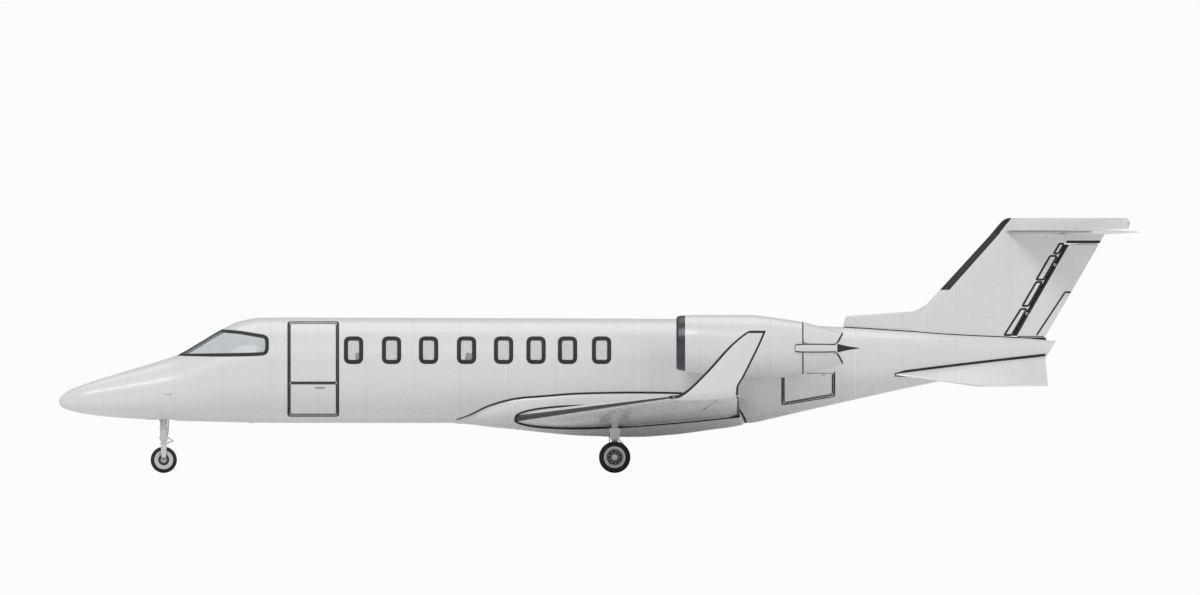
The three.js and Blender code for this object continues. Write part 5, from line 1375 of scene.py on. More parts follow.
FIN_CAP = [
    (6.388, 3.882), (6.585, 4.116), (6.667, 4.182), (8.655, 4.182), (8.684, 4.150), (8.684, 4.004), (8.350, 3.994),
    (6.700, 3.960), (6.640, 3.882)]
CAP_HALF, CAP_MIDDLE = 0.078, np.array([7.6, 4.07])
CAP_EDGE = [(6.20, 3.80), (6.20, 4.30), (6.852, 4.30), (6.452, 3.80)]


def cap_body():
    """The cap's side outline carried across, drawn in by a quarter circle, and narrowed to a nose and a tail."""
    outline = filled_in(rounded(FIN_CAP, [0.02, 0.05, 0.05, 0.025, 0.025, 0.01, 0.01, 0.01, 0.01]), 0.03)
    turn = np.linspace(0, np.pi, 17)[:, None]
    nose = np.clip((outline[:, 0] - 6.38) / 0.9, 0, 1) ** 0.5
    tail = np.clip((8.70 - outline[:, 0]) / 0.5, 0, 1) ** 0.5
    width = CAP_HALF * (0.25 + 0.75 * nose) * (0.35 + 0.65 * tail)
    draw = 0.024 * (1 - np.sin(turn) ** 0.5)
    x, z = outline.T
    in_x, in_z = unit(CAP_MIDDLE - outline).T
    return points(x + in_x * draw, -width * np.cos(turn), z + in_z * draw)


cap_shape = capped(cap_body())
cap_edge = carve(cap_shape.copy(), [prism(CAP_EDGE, -0.2, 0.2, mark=0)], "INTERSECT")
piece("fin_cap_skin", carve(cap_shape, [prism(CAP_EDGE, -0.2, 0.2, mark=0)]), [TAIL_PAINT], AIRFRAME, "fin_cap",
      50)
piece("fin_cap_edge", cap_edge, [BLACK_EDGE], sharp=50)
piece("tail_light", block((8.688, 0, 4.10), (0.030, 0.040, 0.060), 0.7, 10, 20), [CLEAR_LENS])

VENTRAL_ROOT = [(4.846, 0.435, 1.607), (7.306, 0.119, 1.902)]
VENTRAL_TIP = [(6.240, 0.679, 1.419), (7.355, 0.685, 1.427)]
VENTRAL_HALF = 0.018
VENTRAL_SUNK = [(-0.139, -0.024, 0.019), (0, -0.08, 0.06), (0, 0, 0), (0, 0, 0)]


def fin_foot(sign):
    """Along the crown beside the ridge, then the fin, then the rudder: whichever is the widest at each station."""
    x = np.linspace(4.01, 7.33, 120)
    top = fuselage_lines(x)[0]
    ridge = np.interp(x, [row[0] for row in DORSAL], [row[2] for row in DORSAL], right=0)
    fin_y = np.where((x > fin_lines(top)[0]) & (x < RUDDER_FOOT[0]), fin_half(top, x), 0)
    rudder_y = np.where(x > RUDDER_FOOT[0] - 0.06, rudder_half(RUDDER_FOOT[1], x), 0)
    y = np.maximum(np.maximum(ridge, fin_y), rudder_y) + 0.006
    return points(x, sign * y, skin_z(x, y)), np.tile(unit(np.array([0, sign * 0.8, 0.6])), (120, 1))


def ventral_sheet(rows, cols):
    """The middle of the plate: straight lines between its four corners, the root ones carried on into the cone."""
    corners = np.array([*VENTRAL_ROOT, *VENTRAL_TIP[::-1]]) + VENTRAL_SUNK
    u, v = np.linspace(0, 1, rows)[:, None, None], np.linspace(0, 1, cols)[None, :, None]
    normal = unit(np.cross(corners[1] - corners[0], corners[2] - corners[0]))
    return mix(mix(corners[0], corners[1], u), mix(corners[3], corners[2], u), v), u, v, normal


def ventral_foot(sign):
    """Where the plate comes out of the skin: in each row of it, the first point that stands outside."""
    sheet = ventral_sheet(90, 400)[0]
    first = (sheet[..., 1] > side_y(sheet[..., 0], sheet[..., 2])).argmax(axis=1)
    foot = sheet[np.arange(90), first][(first > 0) & (sheet[:, 0, 0] < 7.32)][:, [0, 2]]
    apart = np.minimum(0.034, 0.006 + 0.16 * (foot[:, :1] - foot[0, 0])) * (0, 1)
    return [on_skin(foot + up * apart, sign) for up in (1, -1)]


def ventral_fin():
    """A flat plate, its thickness eased to nothing at the front and the tip by a root of the distance."""
    sheet, u, v, normal = ventral_sheet(50, 24)
    ease = np.minimum(1, np.sqrt(np.minimum(u / 0.04, (1 - v) / 0.06)) + 0.15)
    taper = np.minimum(ease, 0.3 + 0.7 * np.minimum(1, (1 - u) / 0.25)) * VENTRAL_HALF
    return slab(sheet + normal * taper, sheet - normal * taper, (0, 0, 0))


tail_sealant = [moulding(*fin_foot(sign), flat_bar(0.034, 0.004, 0.02), False) for _, sign in SIDES]
tail_sealant += [moulding(*line, flat_bar(0.046, 0.004, 0.014), False)
                 for _, sign in SIDES for line in ventral_foot(sign)]
dark("tail_sealant", tail_sealant, sharp=60)
both("ventral_fin_skin", ventral_fin(), [TAIL_PAINT], AIRFRAME, "ventral_fin", 40)

# Engines: cowl with its lip and duct, pylon, fan, core and reverser doors
ENGINE_Y, ENGINE_Z = 1.56, 2.066
COWL = [  # x, top, bottom
    (1.276, 2.545, 1.715), (1.345, 2.582, 1.682), (1.714, 2.591, 1.607), (2.466, 2.591, 1.533),
    (2.796, 2.558, 1.542), (3.346, 2.475, 1.625)]
DUCT = [  # x, centre z, radius
    (1.345, 2.126, 0.374), (1.650, 2.066, 0.362), (1.950, 2.066, 0.362), (2.200, 2.066, 0.400), (3.340, 2.050, 0.386)]
NOZZLE = [(3.352, 2.050, 0.425), (3.993, 2.046, 0.258)]
LIP_START, LIP_END, LIP_REACH = 1.345, 1.405, 0.085
PIVOT_X, PIVOT_Z, PIVOT_OFFSET = 3.900, 2.047, 0.045
NOZZLE_WALL, BEAM_HALF, MOUTH_NOTCH, MOUTH_EDGE = 0.036, 0.078, 3.879, 0.034
MOUTH = [(MOUTH_NOTCH, PIVOT_Z - 0.02), (4.033, PIVOT_Z - 0.29), (4.033, PIVOT_Z + 0.29),
         (MOUTH_NOTCH, PIVOT_Z + 0.02)]
ACROSS = (0.9, 2.3)  # from one side of the right engine to the other
BEAM = [  # x, half height, inner and outer offset from the engine's middle
    (3.190, 0.004, 0.424, 0.430), (3.205, 0.045, 0.408, 0.448), (3.240, 0.068, 0.400, 0.462),
    (3.340, 0.078, 0.386, 0.452), (3.560, 0.078, 0.322, 0.398), (3.880, 0.074, 0.276, 0.330),
    (3.960, 0.058, 0.274, 0.322), (4.060, 0.036, 0.281, 0.316), (4.266, 0.004, 0.296, 0.304)]
PYLON = [(0.500, 1.640, 3.165, 0.170), (1.130, 1.8015, 3.165, 0.1543)]  # half span, lead x, trail x, thickness
FAN_X, FAN_TIP, HUB = 1.830, 0.342, 0.115
BLADES, SHAFT = 22, 0.040
CORE = [  # radius, x
    (0, FAN_X), (SHAFT - 0.001, FAN_X), (SHAFT - 0.001, 1.985), (0.148, 1.99), (0.160, 1.995), (0.205, 2.06),
    (0.225, 2.17), (0.225, 2.60), (0.222, 2.92), (0.205, 3.00), (0.150, 3.080), (0.138, 3.10), (0.120, 3.20),
    (0.085, 3.36), (0.04, 3.50), (0, 3.56)]
cowl_lines, duct_lines, beam_lines = [smooth_table(table) for table in (COWL, DUCT, BEAM)]


def rings(x, z, radius, sides=96):
    """Circles round the engine's side, square to x."""
    x, z, radius = [np.asarray(value, float)[:, None] for value in (x, z, radius)]
    turn = around(sides)
    return points(x, ENGINE_Y + radius * np.sin(turn), z + radius * np.cos(turn))


def cowl_section(x):
    """Middle height and radius of the cowl at a station."""
    top, bottom = cowl_lines(x)
    return (top + bottom) / 2, (top - bottom) / 2


def cowl_shell():
    """Outer profile from the lip to the joint with the doors, a half ellipse round the lip, and the duct back."""
    outer_x = np.concatenate([np.linspace(LIP_START, LIP_END, 5), np.linspace(LIP_END, COWL[-1][0], 50)[1:]])
    outer_z, outer_radius = cowl_section(outer_x)
    inner_x = np.linspace(3.335, LIP_START, 50)
    inner_z, inner_radius = duct_lines(inner_x)
    turn = np.linspace(-0.5 * np.pi, 0.5 * np.pi, 19)[1:-1]
    share = (1 + np.sin(turn)) / 2
    x = np.concatenate([LIP_START - LIP_REACH * np.cos(turn), outer_x, inner_x])
    z = np.concatenate([mix(inner_z[-1], outer_z[0], share), outer_z, inner_z])
    radius = np.concatenate([mix(inner_radius[-1], outer_radius[0], share), outer_radius, inner_radius])
    outside = np.arange(len(x)) < len(turn) + len(outer_x) - 1
    marks = np.where((x + np.roll(x, -1)) / 2 < LIP_END, 1, np.where(outside, 0, 2))
    return closed((rings(x, z, radius), True, True, marks[:, None]))


def cone(inset, x0, x1, steps=30):
    """The nozzle's straight cone, drawn in by an inset."""
    x = np.linspace(x0, x1, steps)
    (xa, za, ra), (xb, zb, rb) = NOZZLE
    t = (x - xa) / (xb - xa)
    return rings(x, mix(za, zb, t), mix(ra, rb, t) - inset, 112)


def bucket(up):
    """Half of the nozzle's conical shell, its mouth notched at the sides, with a lug at each side down to its pin."""
    wall = walled(cone(0, 3.358, 3.993), cone(NOZZLE_WALL, 3.358, 3.993))
    edge = PIVOT_Z + up * (BEAM_HALF + 0.008)
    keep = [(3.3, edge), (4.1, edge), (4.1, edge + up * 0.6), (3.3, edge + up * 0.6)]
    wall = carve(wall, [prism(keep, *ACROSS)], "INTERSECT")
    ahead = [(x - MOUTH_EDGE, z) for x, z in MOUTH]
    mouth_strip = carve(carve(wall.copy(), [prism(ahead, *ACROSS)], "INTERSECT"), [prism(MOUTH, *ACROSS)])
    mouth_strip.polygons.foreach_set("material_index", np.full(len(mouth_strip.polygons), 2, np.int32))
    parts = [carve(wall, [prism(ahead, *ACROSS)]), mouth_strip]
    z, foot = PIVOT_Z + up * PIVOT_OFFSET, PIVOT_Z + up * 0.190
    arm = [(PIVOT_X - 0.024, z), (PIVOT_X + 0.020, z), (PIVOT_X - 0.060, foot), (PIVOT_X - 0.130, foot)]
    for side in (1, -1):
        near, far = sorted((ENGINE_Y + side * 0.222, ENGINE_Y + side * 0.236))
        inside = capped(cone(0.006, 3.34, 4.01, 8))
        parts += [pin(PIVOT_X, z, near, far, 0.026, 24, 1),
                  carve(prism(arm, near, far, mark=1), [inside], "INTERSECT")]
    return parts


def pivot_beam(side):
    """A pod lofted through rows of half height and depth, its section a squashed oval, pointed behind."""
    x = np.concatenate([np.linspace(3.190, 3.26, 12), np.linspace(3.28, 4.266, 44)])[:, None]
    half, inner, outer = beam_lines(x)
    turn = around(28)
    y = (inner + outer) / 2 + (outer - inner) / 2 * power(np.sin(turn), 0.6)
    grid = points(x, ENGINE_Y + side * y, PIVOT_Z + half * power(np.cos(turn), 0.75))
    body = capped(grid, np.where((x[:-1] + x[1:]) / 2 > MOUTH_NOTCH + 0.01, 1, 0), (0, 1))
    duct_hole = capped(rings(np.linspace(3.18, 3.36, 4), np.full(4, 2.051), np.full(4, 0.388)), 2)
    # a dark line on the outer flank, from the joint's rear round the rounded front end
    share, along = 0.80, mix(3.1915, 3.875, np.linspace(0, 1, 40) ** 2.4)
    half, inner, outer = beam_lines(along)
    flank = (inner + outer) / 2 + (outer - inner) / 2 * (1 - share ** (2 / 0.75)) ** 0.3
    path = points(along, ENGINE_Y + side * flank, PIVOT_Z + share * half)
    path = np.vstack([path[::-1], path * (1, 1, -1) + (0, 0, 2 * PIVOT_Z)])
    outline = moulding(path, np.tile((0.0, float(side), 0.0), (80, 1)), flat_bar(0.022, 0.003, 0.008), False, 1)
    bow = np.linspace(0, np.pi, 24)
    x, z = 3.262 - 0.052 * np.sin(bow), PIVOT_Z + 0.060 * np.cos(bow)
    middle, radius = cowl_section(x)
    y = side * np.sqrt(radius ** 2 - (z - middle) ** 2)
    front = moulding(points(x, ENGINE_Y + y, z), unit(points(0 * bow, y, z - middle)),
                     flat_bar(0.022, 0.004, 0.008), False, 1)
    pins = [pin(PIVOT_X, PIVOT_Z + up * PIVOT_OFFSET, ENGINE_Y + side * 0.284, ENGINE_Y + side * 0.214, 0.0095, 20, 2)
            for up in (1, -1)]
    return [carve(body, [duct_hole]), outline, front, *pins]


def pylon_grid():
    y = np.linspace(PYLON[0][0], PYLON[1][0], 24)[:, None]
    lead, trail, thick = straight_table(PYLON)(y)
    return points(mix(lead, trail, LOOP_F), y, ENGINE_Z + loop_heights(thick))


def spun(grid, count, start=0.0):
    """Copies of a shape that stands on +Z, set evenly round the engine's axis."""
    x, y, z = np.moveaxis(grid, -1, 0)
    return [capped(points(x, ENGINE_Y + y * math.cos(turn) - z * math.sin(turn),
                          ENGINE_Z + y * math.sin(turn) + z * math.cos(turn))) for turn in around(count, start)[0]]


def fan_meshes():
    """A blade is a lens bowed along its chord, pitched more and set back more towards the tip; then the spinner."""
    r = np.linspace(HUB - 0.02, FAN_TIP, 16)[:, None]
    t = (r - HUB) / (FAN_TIP - HUB)
    pitch, chord = np.radians(mix(28, 60, t)), mix(0.050, 0.068, np.sin(np.clip(t, 0, 1) * np.pi * 0.6))
    turn = around(18)
    u = chord * np.cos(turn)
    v = mix(0.0065, 0.0025, t) * np.sin(turn) + 0.10 * chord * (1 - np.cos(turn) ** 2) - 0.004
    x = u * np.cos(pitch) - v * np.sin(pitch) + 0.030 + 0.012 * np.sin(np.clip(t, 0, 1) * np.pi)
    blades = spun(points(x + FAN_X, u * np.sin(pitch) + v * np.cos(pitch), r + 0 * u), BLADES)
    nose = np.linspace(0, 1, 20)
    spinner = [(HUB * math.sin(t * math.pi / 2) ** 0.8, -0.05 - 0.18 * math.cos(t * math.pi / 2)) for t in nose]
    bore = SHAFT + 0.004
    hub = lathe([*spinner, (HUB, 0.14), (bore, 0.14), (bore, -0.02), (0, -0.02)], (FAN_X, ENGINE_Y, ENGINE_Z),
                sides=64, marks=[1] * len(nose) + [0] * 4)
    return blades + [hub]


def core_meshes():
    """Core casing and exhaust plug turned round the engine's axis, with struts and vanes to the duct."""
    marks = [0 if x < 2.95 else 1 for _, x in CORE]
    body = lathe(CORE, (0.0, ENGINE_Y, ENGINE_Z), sides=64, marks=marks)
    strut_r, vane_r = [np.linspace(*ends)[:, None] for ends in ((0.205, 0.392, 6), (0.19, 0.375, 5))]
    shape = LOOP_SIDE * (section_half(LOOP_F, 1) - TRAIL_HALF * LOOP_F)
    struts = points(mix(2.30, 2.42, LOOP_F), shape * 0.024, strut_r)
    vanes = points(mix(2.02, 2.10, LOOP_F), shape * 0.008 + 0.02 * (LOOP_F - 0.5), vane_r)
    return [body, *spun(struts, 5, math.pi / 5), *spun(vanes, 30)]


joint_x, joint_half = 3.332, 0.014
joint_z, joint_radius = cowl_section(joint_x)
cowl_joint = lathe([(joint_radius + out, joint_x + way * joint_half)
                    for out, way in ((-0.004, -1), (0.0012, -1), (0.0012, 1), (-0.004, 1))],
                   (0, ENGINE_Y, joint_z), sides=96, loop=True)
both("cowl", cowl_shell(), [COWL_PAINT, DARK_LIP, BARE_METAL], AIRFRAME, "nacelle", 40)
both("pivot_beams", pivot_beam(1) + pivot_beam(-1), [COWL_PAINT, BLACK_EDGE, BARE_METAL], sharp=40)
both("cowl_joint", cowl_joint, [DARK_SEAL], sharp=50)
both("pylon_skin", capped(pylon_grid(), edge_marks(24, 0.03)), [COWL_PAINT, POLISHED], AIRFRAME, "pylon",
     40)
both("fan_blades", fan_meshes(), [BLADE_METAL, DARK_LIP], "fan_rotor", "fan", 40)
both("core_casing", core_meshes(), [BARE_METAL, HOT_METAL], AIRFRAME, "engine_core")
for height, up in (("upper", 1), ("lower", -1)):
    both(f"reverser_door_{height}", bucket(up), [COWL_PAINT, HOT_METAL, DARK_SEAL], f"{height}_bucket",
         f"reverser_{height}", 40)

# Landing gear
NOSE_X, NOSE_RADIUS, NOSE_WIDTH, NOSE_RIM, NOSE_AXLE = -7.146, 0.216, 0.150, 0.122, 0.020
MAIN_X, MAIN_Y, MAIN_RADIUS, MAIN_WIDTH, MAIN_RIM = 0.249, 1.425, 0.258, 0.148, 0.146
MAIN_SPACING, MAIN_AXLE = 0.150, 0.028
GROOVE = 0.006


def tyre_mesh(centre, radius, width, rim):
    """Tyre section turned about the axle: straight beads, bulged flanks, a rounded shoulder and tread grooves."""
    w = width / 2
    flank = np.array([
        (rim + 0.0005, w * 0.80), (rim + 0.012, w * 0.90), (mix(rim, radius, 0.45), w),
        (mix(rim, radius, 0.72), w * 0.97), (radius - 0.018, w * 0.84), (radius - 0.006, w * 0.66),
        (radius - 0.001, w * 0.48)])
    tread = [(radius - depth, w * (middle + along)) for middle in (-0.30, 0, 0.30)
             for depth, along in ((0, -0.06), (GROOVE, -0.03), (GROOVE, 0.03), (0, 0.06))]
    t = np.linspace(0, len(flank) - 1, 25)
    bulge = np.stack([smooth_line(np.arange(len(flank)), column)(t) for column in flank.T], axis=-1)
    return lathe(np.vstack([bulge * (1, -1), tread, bulge[::-1]]), centre, "y", 80, loop=True)


def rim_meshes(centre, radius, width, outward):
    """A dished rim with a flange at each side, a web with round holes, a hub and a ring of bolts."""
    x, y, z = centre
    w = width / 2
    profile = [
        (0, -w + 0.010), (0.045, -w + 0.010), (0.050, -w + 0.022), (radius - 0.030, -w + 0.022),
        (radius - 0.012, -w + 0.012), (radius, -w + 0.011), (radius, w - 0.011), (radius - 0.006, w - 0.008),
        (radius - 0.014, w - 0.010), (radius - 0.020, w - 0.030), (radius - 0.030, w - 0.044), (0.062, w - 0.044),
        (0.055, w - 0.030), (0.046, w - 0.016), (0.040, w - 0.013), (0, w - 0.013)]
    marks = [2 if row in (2, 9, 10, 11) else 0 for row in range(len(profile))]
    body = lathe([(r, d * outward) for r, d in profile], centre, "y", 72, marks=marks)
    flange = ((0.003, -0.006), (0.006, 0.001), (0.030, 0.003), (0.034, -0.006))
    flanges = [lathe([(radius + out, (w + along) * s) for out, along in flange], centre, "y", 72, loop=True)
               for s in (1, -1)]
    web, middle = w - 0.044, (0.062 + radius - 0.030) / 2

    def ring_of(start, near, far, *bar):
        return [pin(x + middle * math.cos(turn), z + middle * math.sin(turn), y + outward * (web + near),
                    y + outward * (web + far), *bar) for turn in around(9, start)[0]]
    holes = ring_of(0, -0.03, 0.02, 0.0125 * radius / NOSE_RIM, 20)
    return [carve(body, holes), *flanges, *ring_of(math.pi / 9, -0.01, 0.007, 0.006, 6, 1)]


def shifted(x, outline):
    return [(x + along, z) for along, z in outline]


nose_at = (NOSE_X, 0, NOSE_RADIUS)
nose_axle = pin(NOSE_X, NOSE_RADIUS, -0.126, 0.126, NOSE_AXLE - 0.0005, 24)
nose_nuts = [pin(NOSE_X, NOSE_RADIUS, s * 0.119, s * 0.127, 0.030, 6, 1) for s in (1, -1)]
piece("nose_wheel_rim", [*rim_meshes(nose_at, NOSE_RIM, NOSE_WIDTH, 1), nose_axle, *nose_nuts],
      [GEAR_PAINT, BARE_METAL, WHEEL_WEB], "nose_wheel", "nose_rim", 40)
piece("nose_wheel_tyre", tyre_mesh(nose_at, NOSE_RADIUS, NOSE_WIDTH, NOSE_RIM), [TYRE_RUBBER], "nose_wheel",
      "nose_tyre", 50)

CHEEK = [(-0.030, 0.20), (0.030, 0.20), (0.052, 0.470), (0.030, 0.498), (-0.030, 0.498), (-0.052, 0.470)]
NOSE_LINKS = (([(0.03, 0.470), (0.155, 0.512), (0.155, 0.536), (0.03, 0.500)], 0.020),
              ([(0.067, 0.566), (0.150, 0.520), (0.158, 0.536), (0.067, 0.596)], 0.015))
NOSE_COLLAR = [(0.0635, 0.560), (0.074, 0.563), (0.074, 0.597), (0.0635, 0.600)]
NOSE_STRUT = [
    (0.0385, 0.520), (0.058, 0.520), (0.0615, 0.526), (0.0615, 0.70), (0.067, 0.705), (0.067, 0.735), (0.0615, 0.74),
    (0.0615, 1.165), (0.056, 1.18), (0.0, 1.18), (0.0, 0.895), (0.0385, 0.895)]


def fork_parts():
    """Stem, crown, two cheeks that narrow to round bosses at the axle, a collar and the torque links."""
    parts = [rod((NOSE_X, 0, 0.47), (NOSE_X, 0, 0.889), 0.0375, 28, 1),
             block((NOSE_X, 0, 0.478), (0.112, 0.232, 0.052), 0.25, 14, 48)]
    for side in (1, -1):
        near, far = sorted((side * 0.091, side * 0.117))
        cheek = prism(rounded(shifted(NOSE_X, CHEEK), 0.02), near, far, mark=0)
        parts += [carve(cheek, [pin(NOSE_X, NOSE_RADIUS, near - 0.01, far + 0.01, NOSE_AXLE + 0.0006, 24)]),
                  lathe([(0.021, near), (0.038, near), (0.038, far), (0.021, far)], nose_at, "y", 32, loop=True)]
    parts.append(lathe(NOSE_COLLAR, (NOSE_X, 0, 0), "z", 40, loop=True))
    parts += [plate(shifted(NOSE_X, corners), 0.008, half) for corners, half in NOSE_LINKS]
    return parts + [pin(NOSE_X + 0.152, 0.525, -0.027, 0.027, 0.010, 16, 1)]


piece("nose_fork_parts", fork_parts(), [GEAR_PAINT, CHROME], "steering_fork", "nose_fork", 40)
lamp = [(0, -0.035), (0.030, -0.030), (0.038, 0.0), (0.038, 0.012), (0, 0.014)]
nose_hose = pipe(points(NOSE_X + 0.066 + 0.012 * np.sin(np.linspace(0, np.pi, 14)), np.linspace(0.03, 0.045, 14),
                        np.linspace(0.62, 1.05, 14)), 0.006, 10, 2)
nose_leg = [
    lathe(NOSE_STRUT, (NOSE_X, 0, 0), "z", 48), pin(NOSE_X, 1.13, -0.1295, 0.1295, 0.034, 24),
    *[rod((NOSE_X - 0.01, s * 0.045, 0.78), (NOSE_X - 0.235, s * 0.095, 1.15), 0.014, 14) for s in (1, -1)],
    pin(NOSE_X - 0.01, 0.78, -0.060, 0.060, 0.016, 16, 1),
    lathe(lamp, (NOSE_X - 0.085, 0, 0.955), "x", 32, marks=1),
    block((NOSE_X - 0.055, 0, 0.955), (0.05, 0.018, 0.024)), nose_hose]
piece("nose_leg_parts", nose_leg, [GEAR_PAINT, BARE_METAL, DARK_SEAL], AIRFRAME, "nose_leg", 40)

MAIN_STRUT = [
    (0, 0.490), (0.048, 0.490), (0.052, 0.496), (0.052, 0.70), (0.058, 0.705), (0.058, 0.735), (0.052, 0.74),
    (0.052, 0.9045), (0, 0.9045)]
MAIN_BOSS = [(0.0286, -0.057), (0.058, -0.057), (0.062, -0.052), (0.062, 0.052), (0.058, 0.057), (0.0286, 0.057)]
MAIN_CLAMP = [(0.0345, 0.30), (0.048, 0.305), (0.048, 0.345), (0.0345, 0.350)]
UPPER_LINK = [(0.04, 0.560), (0.135, 0.452), (0.155, 0.466), (0.04, 0.640)]
LINK_HOLE = [(0.055, 0.572), (0.120, 0.492), (0.112, 0.520), (0.055, 0.606)]
LOWER_LINK = [(0.040, 0.306), (0.155, 0.438), (0.135, 0.456), (0.040, 0.346)]
BRAKE = [(0.0635, 0.034), (0.098, 0.036), (0.104, 0.041), (0.104, 0.056), (0.098, 0.060), (0.0635, 0.060)]


def main_leg_parts():
    """Outer strut, bright piston, axle boss, torque links, brake line and the leg door's arm."""
    x, y = MAIN_X, MAIN_Y
    t = np.linspace(0, 1, 26)
    brake_line = points(x - 0.06 - 0.03 * np.sin(t * np.pi), y + 0.045 - 0.02 * t, mix(0.34, 0.86, t))
    upper = carve(plate(shifted(x, UPPER_LINK), 0.01, 0.022, y), [plate(shifted(x, LINK_HOLE), 0.004, 0.03, y)])
    return [lathe(MAIN_STRUT, (x, y, 0), "z", 48), rod((x, y, 0.28), (x, y, 0.50), 0.034, 36, 1),
            lathe(MAIN_BOSS, (x, y, MAIN_RADIUS), "y", 40, loop=True),
            lathe(MAIN_CLAMP, (x, y, 0), "z", 32, loop=True), upper, plate(shifted(x, LOWER_LINK), 0.01, 0.018, y),
            pin(x + 0.145, 0.450, y - 0.028, y + 0.028, 0.011, 18, 1), pipe(brake_line, 0.007, 10, 3),
            oriented_box(np.array([x, y + 0.040, 0.630]), np.array(Y_AXIS), np.array(X_AXIS), (0, 0.044), 0.030, 0.030)]


brakes = [lathe([(r, s * d) for r, d in BRAKE], (MAIN_X, MAIN_Y, MAIN_RADIUS), "y", 56, loop=True) for s in (1, -1)]
u, v = np.linspace(-1, 1, 14)[:, None], np.linspace(0, 1, 18)[None]
door_face = points(MAIN_X + 0.09 * u * (1 - 0.25 * (1 - v) ** 2), MAIN_Y + 0.0935 - 0.004 * u ** 2,
                   mix(0.546, 0.734, v))
main_axle = pin(MAIN_X, MAIN_RADIUS, MAIN_Y - MAIN_SPACING, MAIN_Y + MAIN_SPACING, MAIN_AXLE - 0.0005, 28)
WHEELS = {end: ((MAIN_X, MAIN_Y + side * MAIN_SPACING, MAIN_RADIUS), side)
          for end, side in (("outer", 1), ("inner", -1))}
main_rims = [part for at, side in WHEELS.values() for part in rim_meshes(at, MAIN_RIM, MAIN_WIDTH, side)]
both("main_leg_parts", main_leg_parts(), [GEAR_PAINT, CHROME, DARK_SEAL], AIRFRAME, "main_leg", 40)
both("brake_stators", brakes, [HOT_METAL], sharp=40)
both("leg_door", slab(door_face, door_face - np.array([0, 0.0105, 0]), (0, 1, 0)), [BODY_PAINT, GEAR_PAINT], sharp=40)
both("main_rims", main_rims + [main_axle], [GEAR_PAINT, BARE_METAL, WHEEL_WEB], "main_wheels", "main_wheel_pair",
     40)
for end, (at, _) in WHEELS.items():
    both(f"tyre_{end}", tyre_mesh(at, MAIN_RADIUS, MAIN_WIDTH, MAIN_RIM), [TYRE_RUBBER], "main_wheels",
         f"main_tyre_{end}", 50)

# Inside: floor, seats, side ledges, instrument panel and controls
FLOOR_X, FLOOR_Z, FLOOR_CUT = (-6.780, 0.540), (0.985, 1.020), 0.245  # the cut is half the width at the doorway
SEAT_BASE, SEAT_Y, CREW_Y = 1.0205, 0.395, 0.330
x = np.linspace(*FLOOR_X, 60)[:, None]
floor_half = np.minimum(side_y(x, FLOOR_Z[0], WALL + 0.001), side_y(x, FLOOR_Z[1], WALL + 0.001))
across = np.linspace(-1, 1, 24)[None]
left_edge = np.where((x > DOOR_X[0] - 0.03) & (x < DOOR_X[1] + 0.03), FLOOR_CUT, floor_half)
floor_y = across * np.where(across < 0, left_edge, floor_half)
floor_mesh = slab(points(x, floor_y, FLOOR_Z[1]), points(x, floor_y, FLOOR_Z[0]), (0, 1, 1))
piece("cabin_carpet", floor_mesh, [CARPET, DARK_PLASTIC], AIRFRAME, "cabin_floor", 40)


def cushion(centre, size, crown, lean=0.0, pivot=None):
    """A padded block: a globe drawn out to rounded corners, its faces crowned by a cosine, its seams pulled in."""
    up, turn = np.linspace(-np.pi / 2, np.pi / 2, 22)[:, None], around(44, -np.pi)
    wide = power(np.cos(up), 0.35)
    x, y, z = wide * power(np.cos(turn), 0.3), wide * power(np.sin(turn), 0.3), power(np.sin(up), 0.55)
    swell = 1 + crown * 0.25 * np.cos(np.clip(x, -1, 1) * np.pi / 2) * np.cos(np.clip(y, -1, 1) * np.pi / 2)
    seam = 1 - 0.035 * np.exp(-(z / 0.12) ** 2)
    grid = points(x * seam, y * seam, z * swell) * np.asarray(size) / 2
    mesh = closed((grid + np.asarray(centre, float), False, True, 0))
    return turned(mesh, pivot, Y_AXIS, lean) if lean else mesh


def piping(centre, length, width, cord=0.005):
    """The corded seam round a cushion's edge."""
    turn, ring = around(60, -np.pi)[0], around(8)[0]
    path = points(power(np.cos(turn), 0.3) * length / 2 * 0.985, power(np.sin(turn), 0.3) * width / 2 * 0.985, 0)
    section = cord * np.stack([np.cos(ring), np.sin(ring)], axis=-1)
    return moulding(path + np.asarray(centre, float), np.tile((0.0, 0.0, 1.0), (len(turn), 1)), section)


def seat(x, y, facing, width):
    """Cushions, piping and hard parts of one seat; facing 1 looks forward and its back leans the other way."""
    def at(back, up, out=0.0):
        return np.array([x + back, y + out, SEAT_BASE + up])
    lean, foot = facing * 9.0, at(facing * 0.235, 0.30)
    soft = [cushion(at(facing * -0.02, 0.335), (0.43, width - 0.04, 0.13), 0.5),
            cushion(at(facing * 0.235, 0.57), (0.105, width - 0.04, 0.52), 0.1, lean, foot),
            cushion(at(facing * 0.225, 0.88), (0.095, width - 0.16, 0.15), 0.1, lean, foot)]
    arm, hard = width / 2 - 0.016, []
    for out in (arm, -arm):
        hard += [block(at(0.01, 0.50, out), (0.36, 0.030, 0.045), 0.3, 12, 32),
                 block(at(facing * 0.10, 0.36, out), (0.05, 0.026, 0.26), 0.3, 10, 24)]
    shell_back = block(at(facing * 0.30, 0.54), (0.03, width - 0.05, 0.50), 0.25, 14, 32)
    hard += [block(at(0, 0.13), (0.28, 0.22, 0.262), 0.2, 14, 36),
             block(at(0, 0.265), (0.40, width - 0.06, 0.03), 0.2, 10, 36), turned(shell_back, foot, Y_AXIS, lean)]
    return soft, [piping(at(facing * -0.02, 0.335), 0.432, width - 0.038)], hard


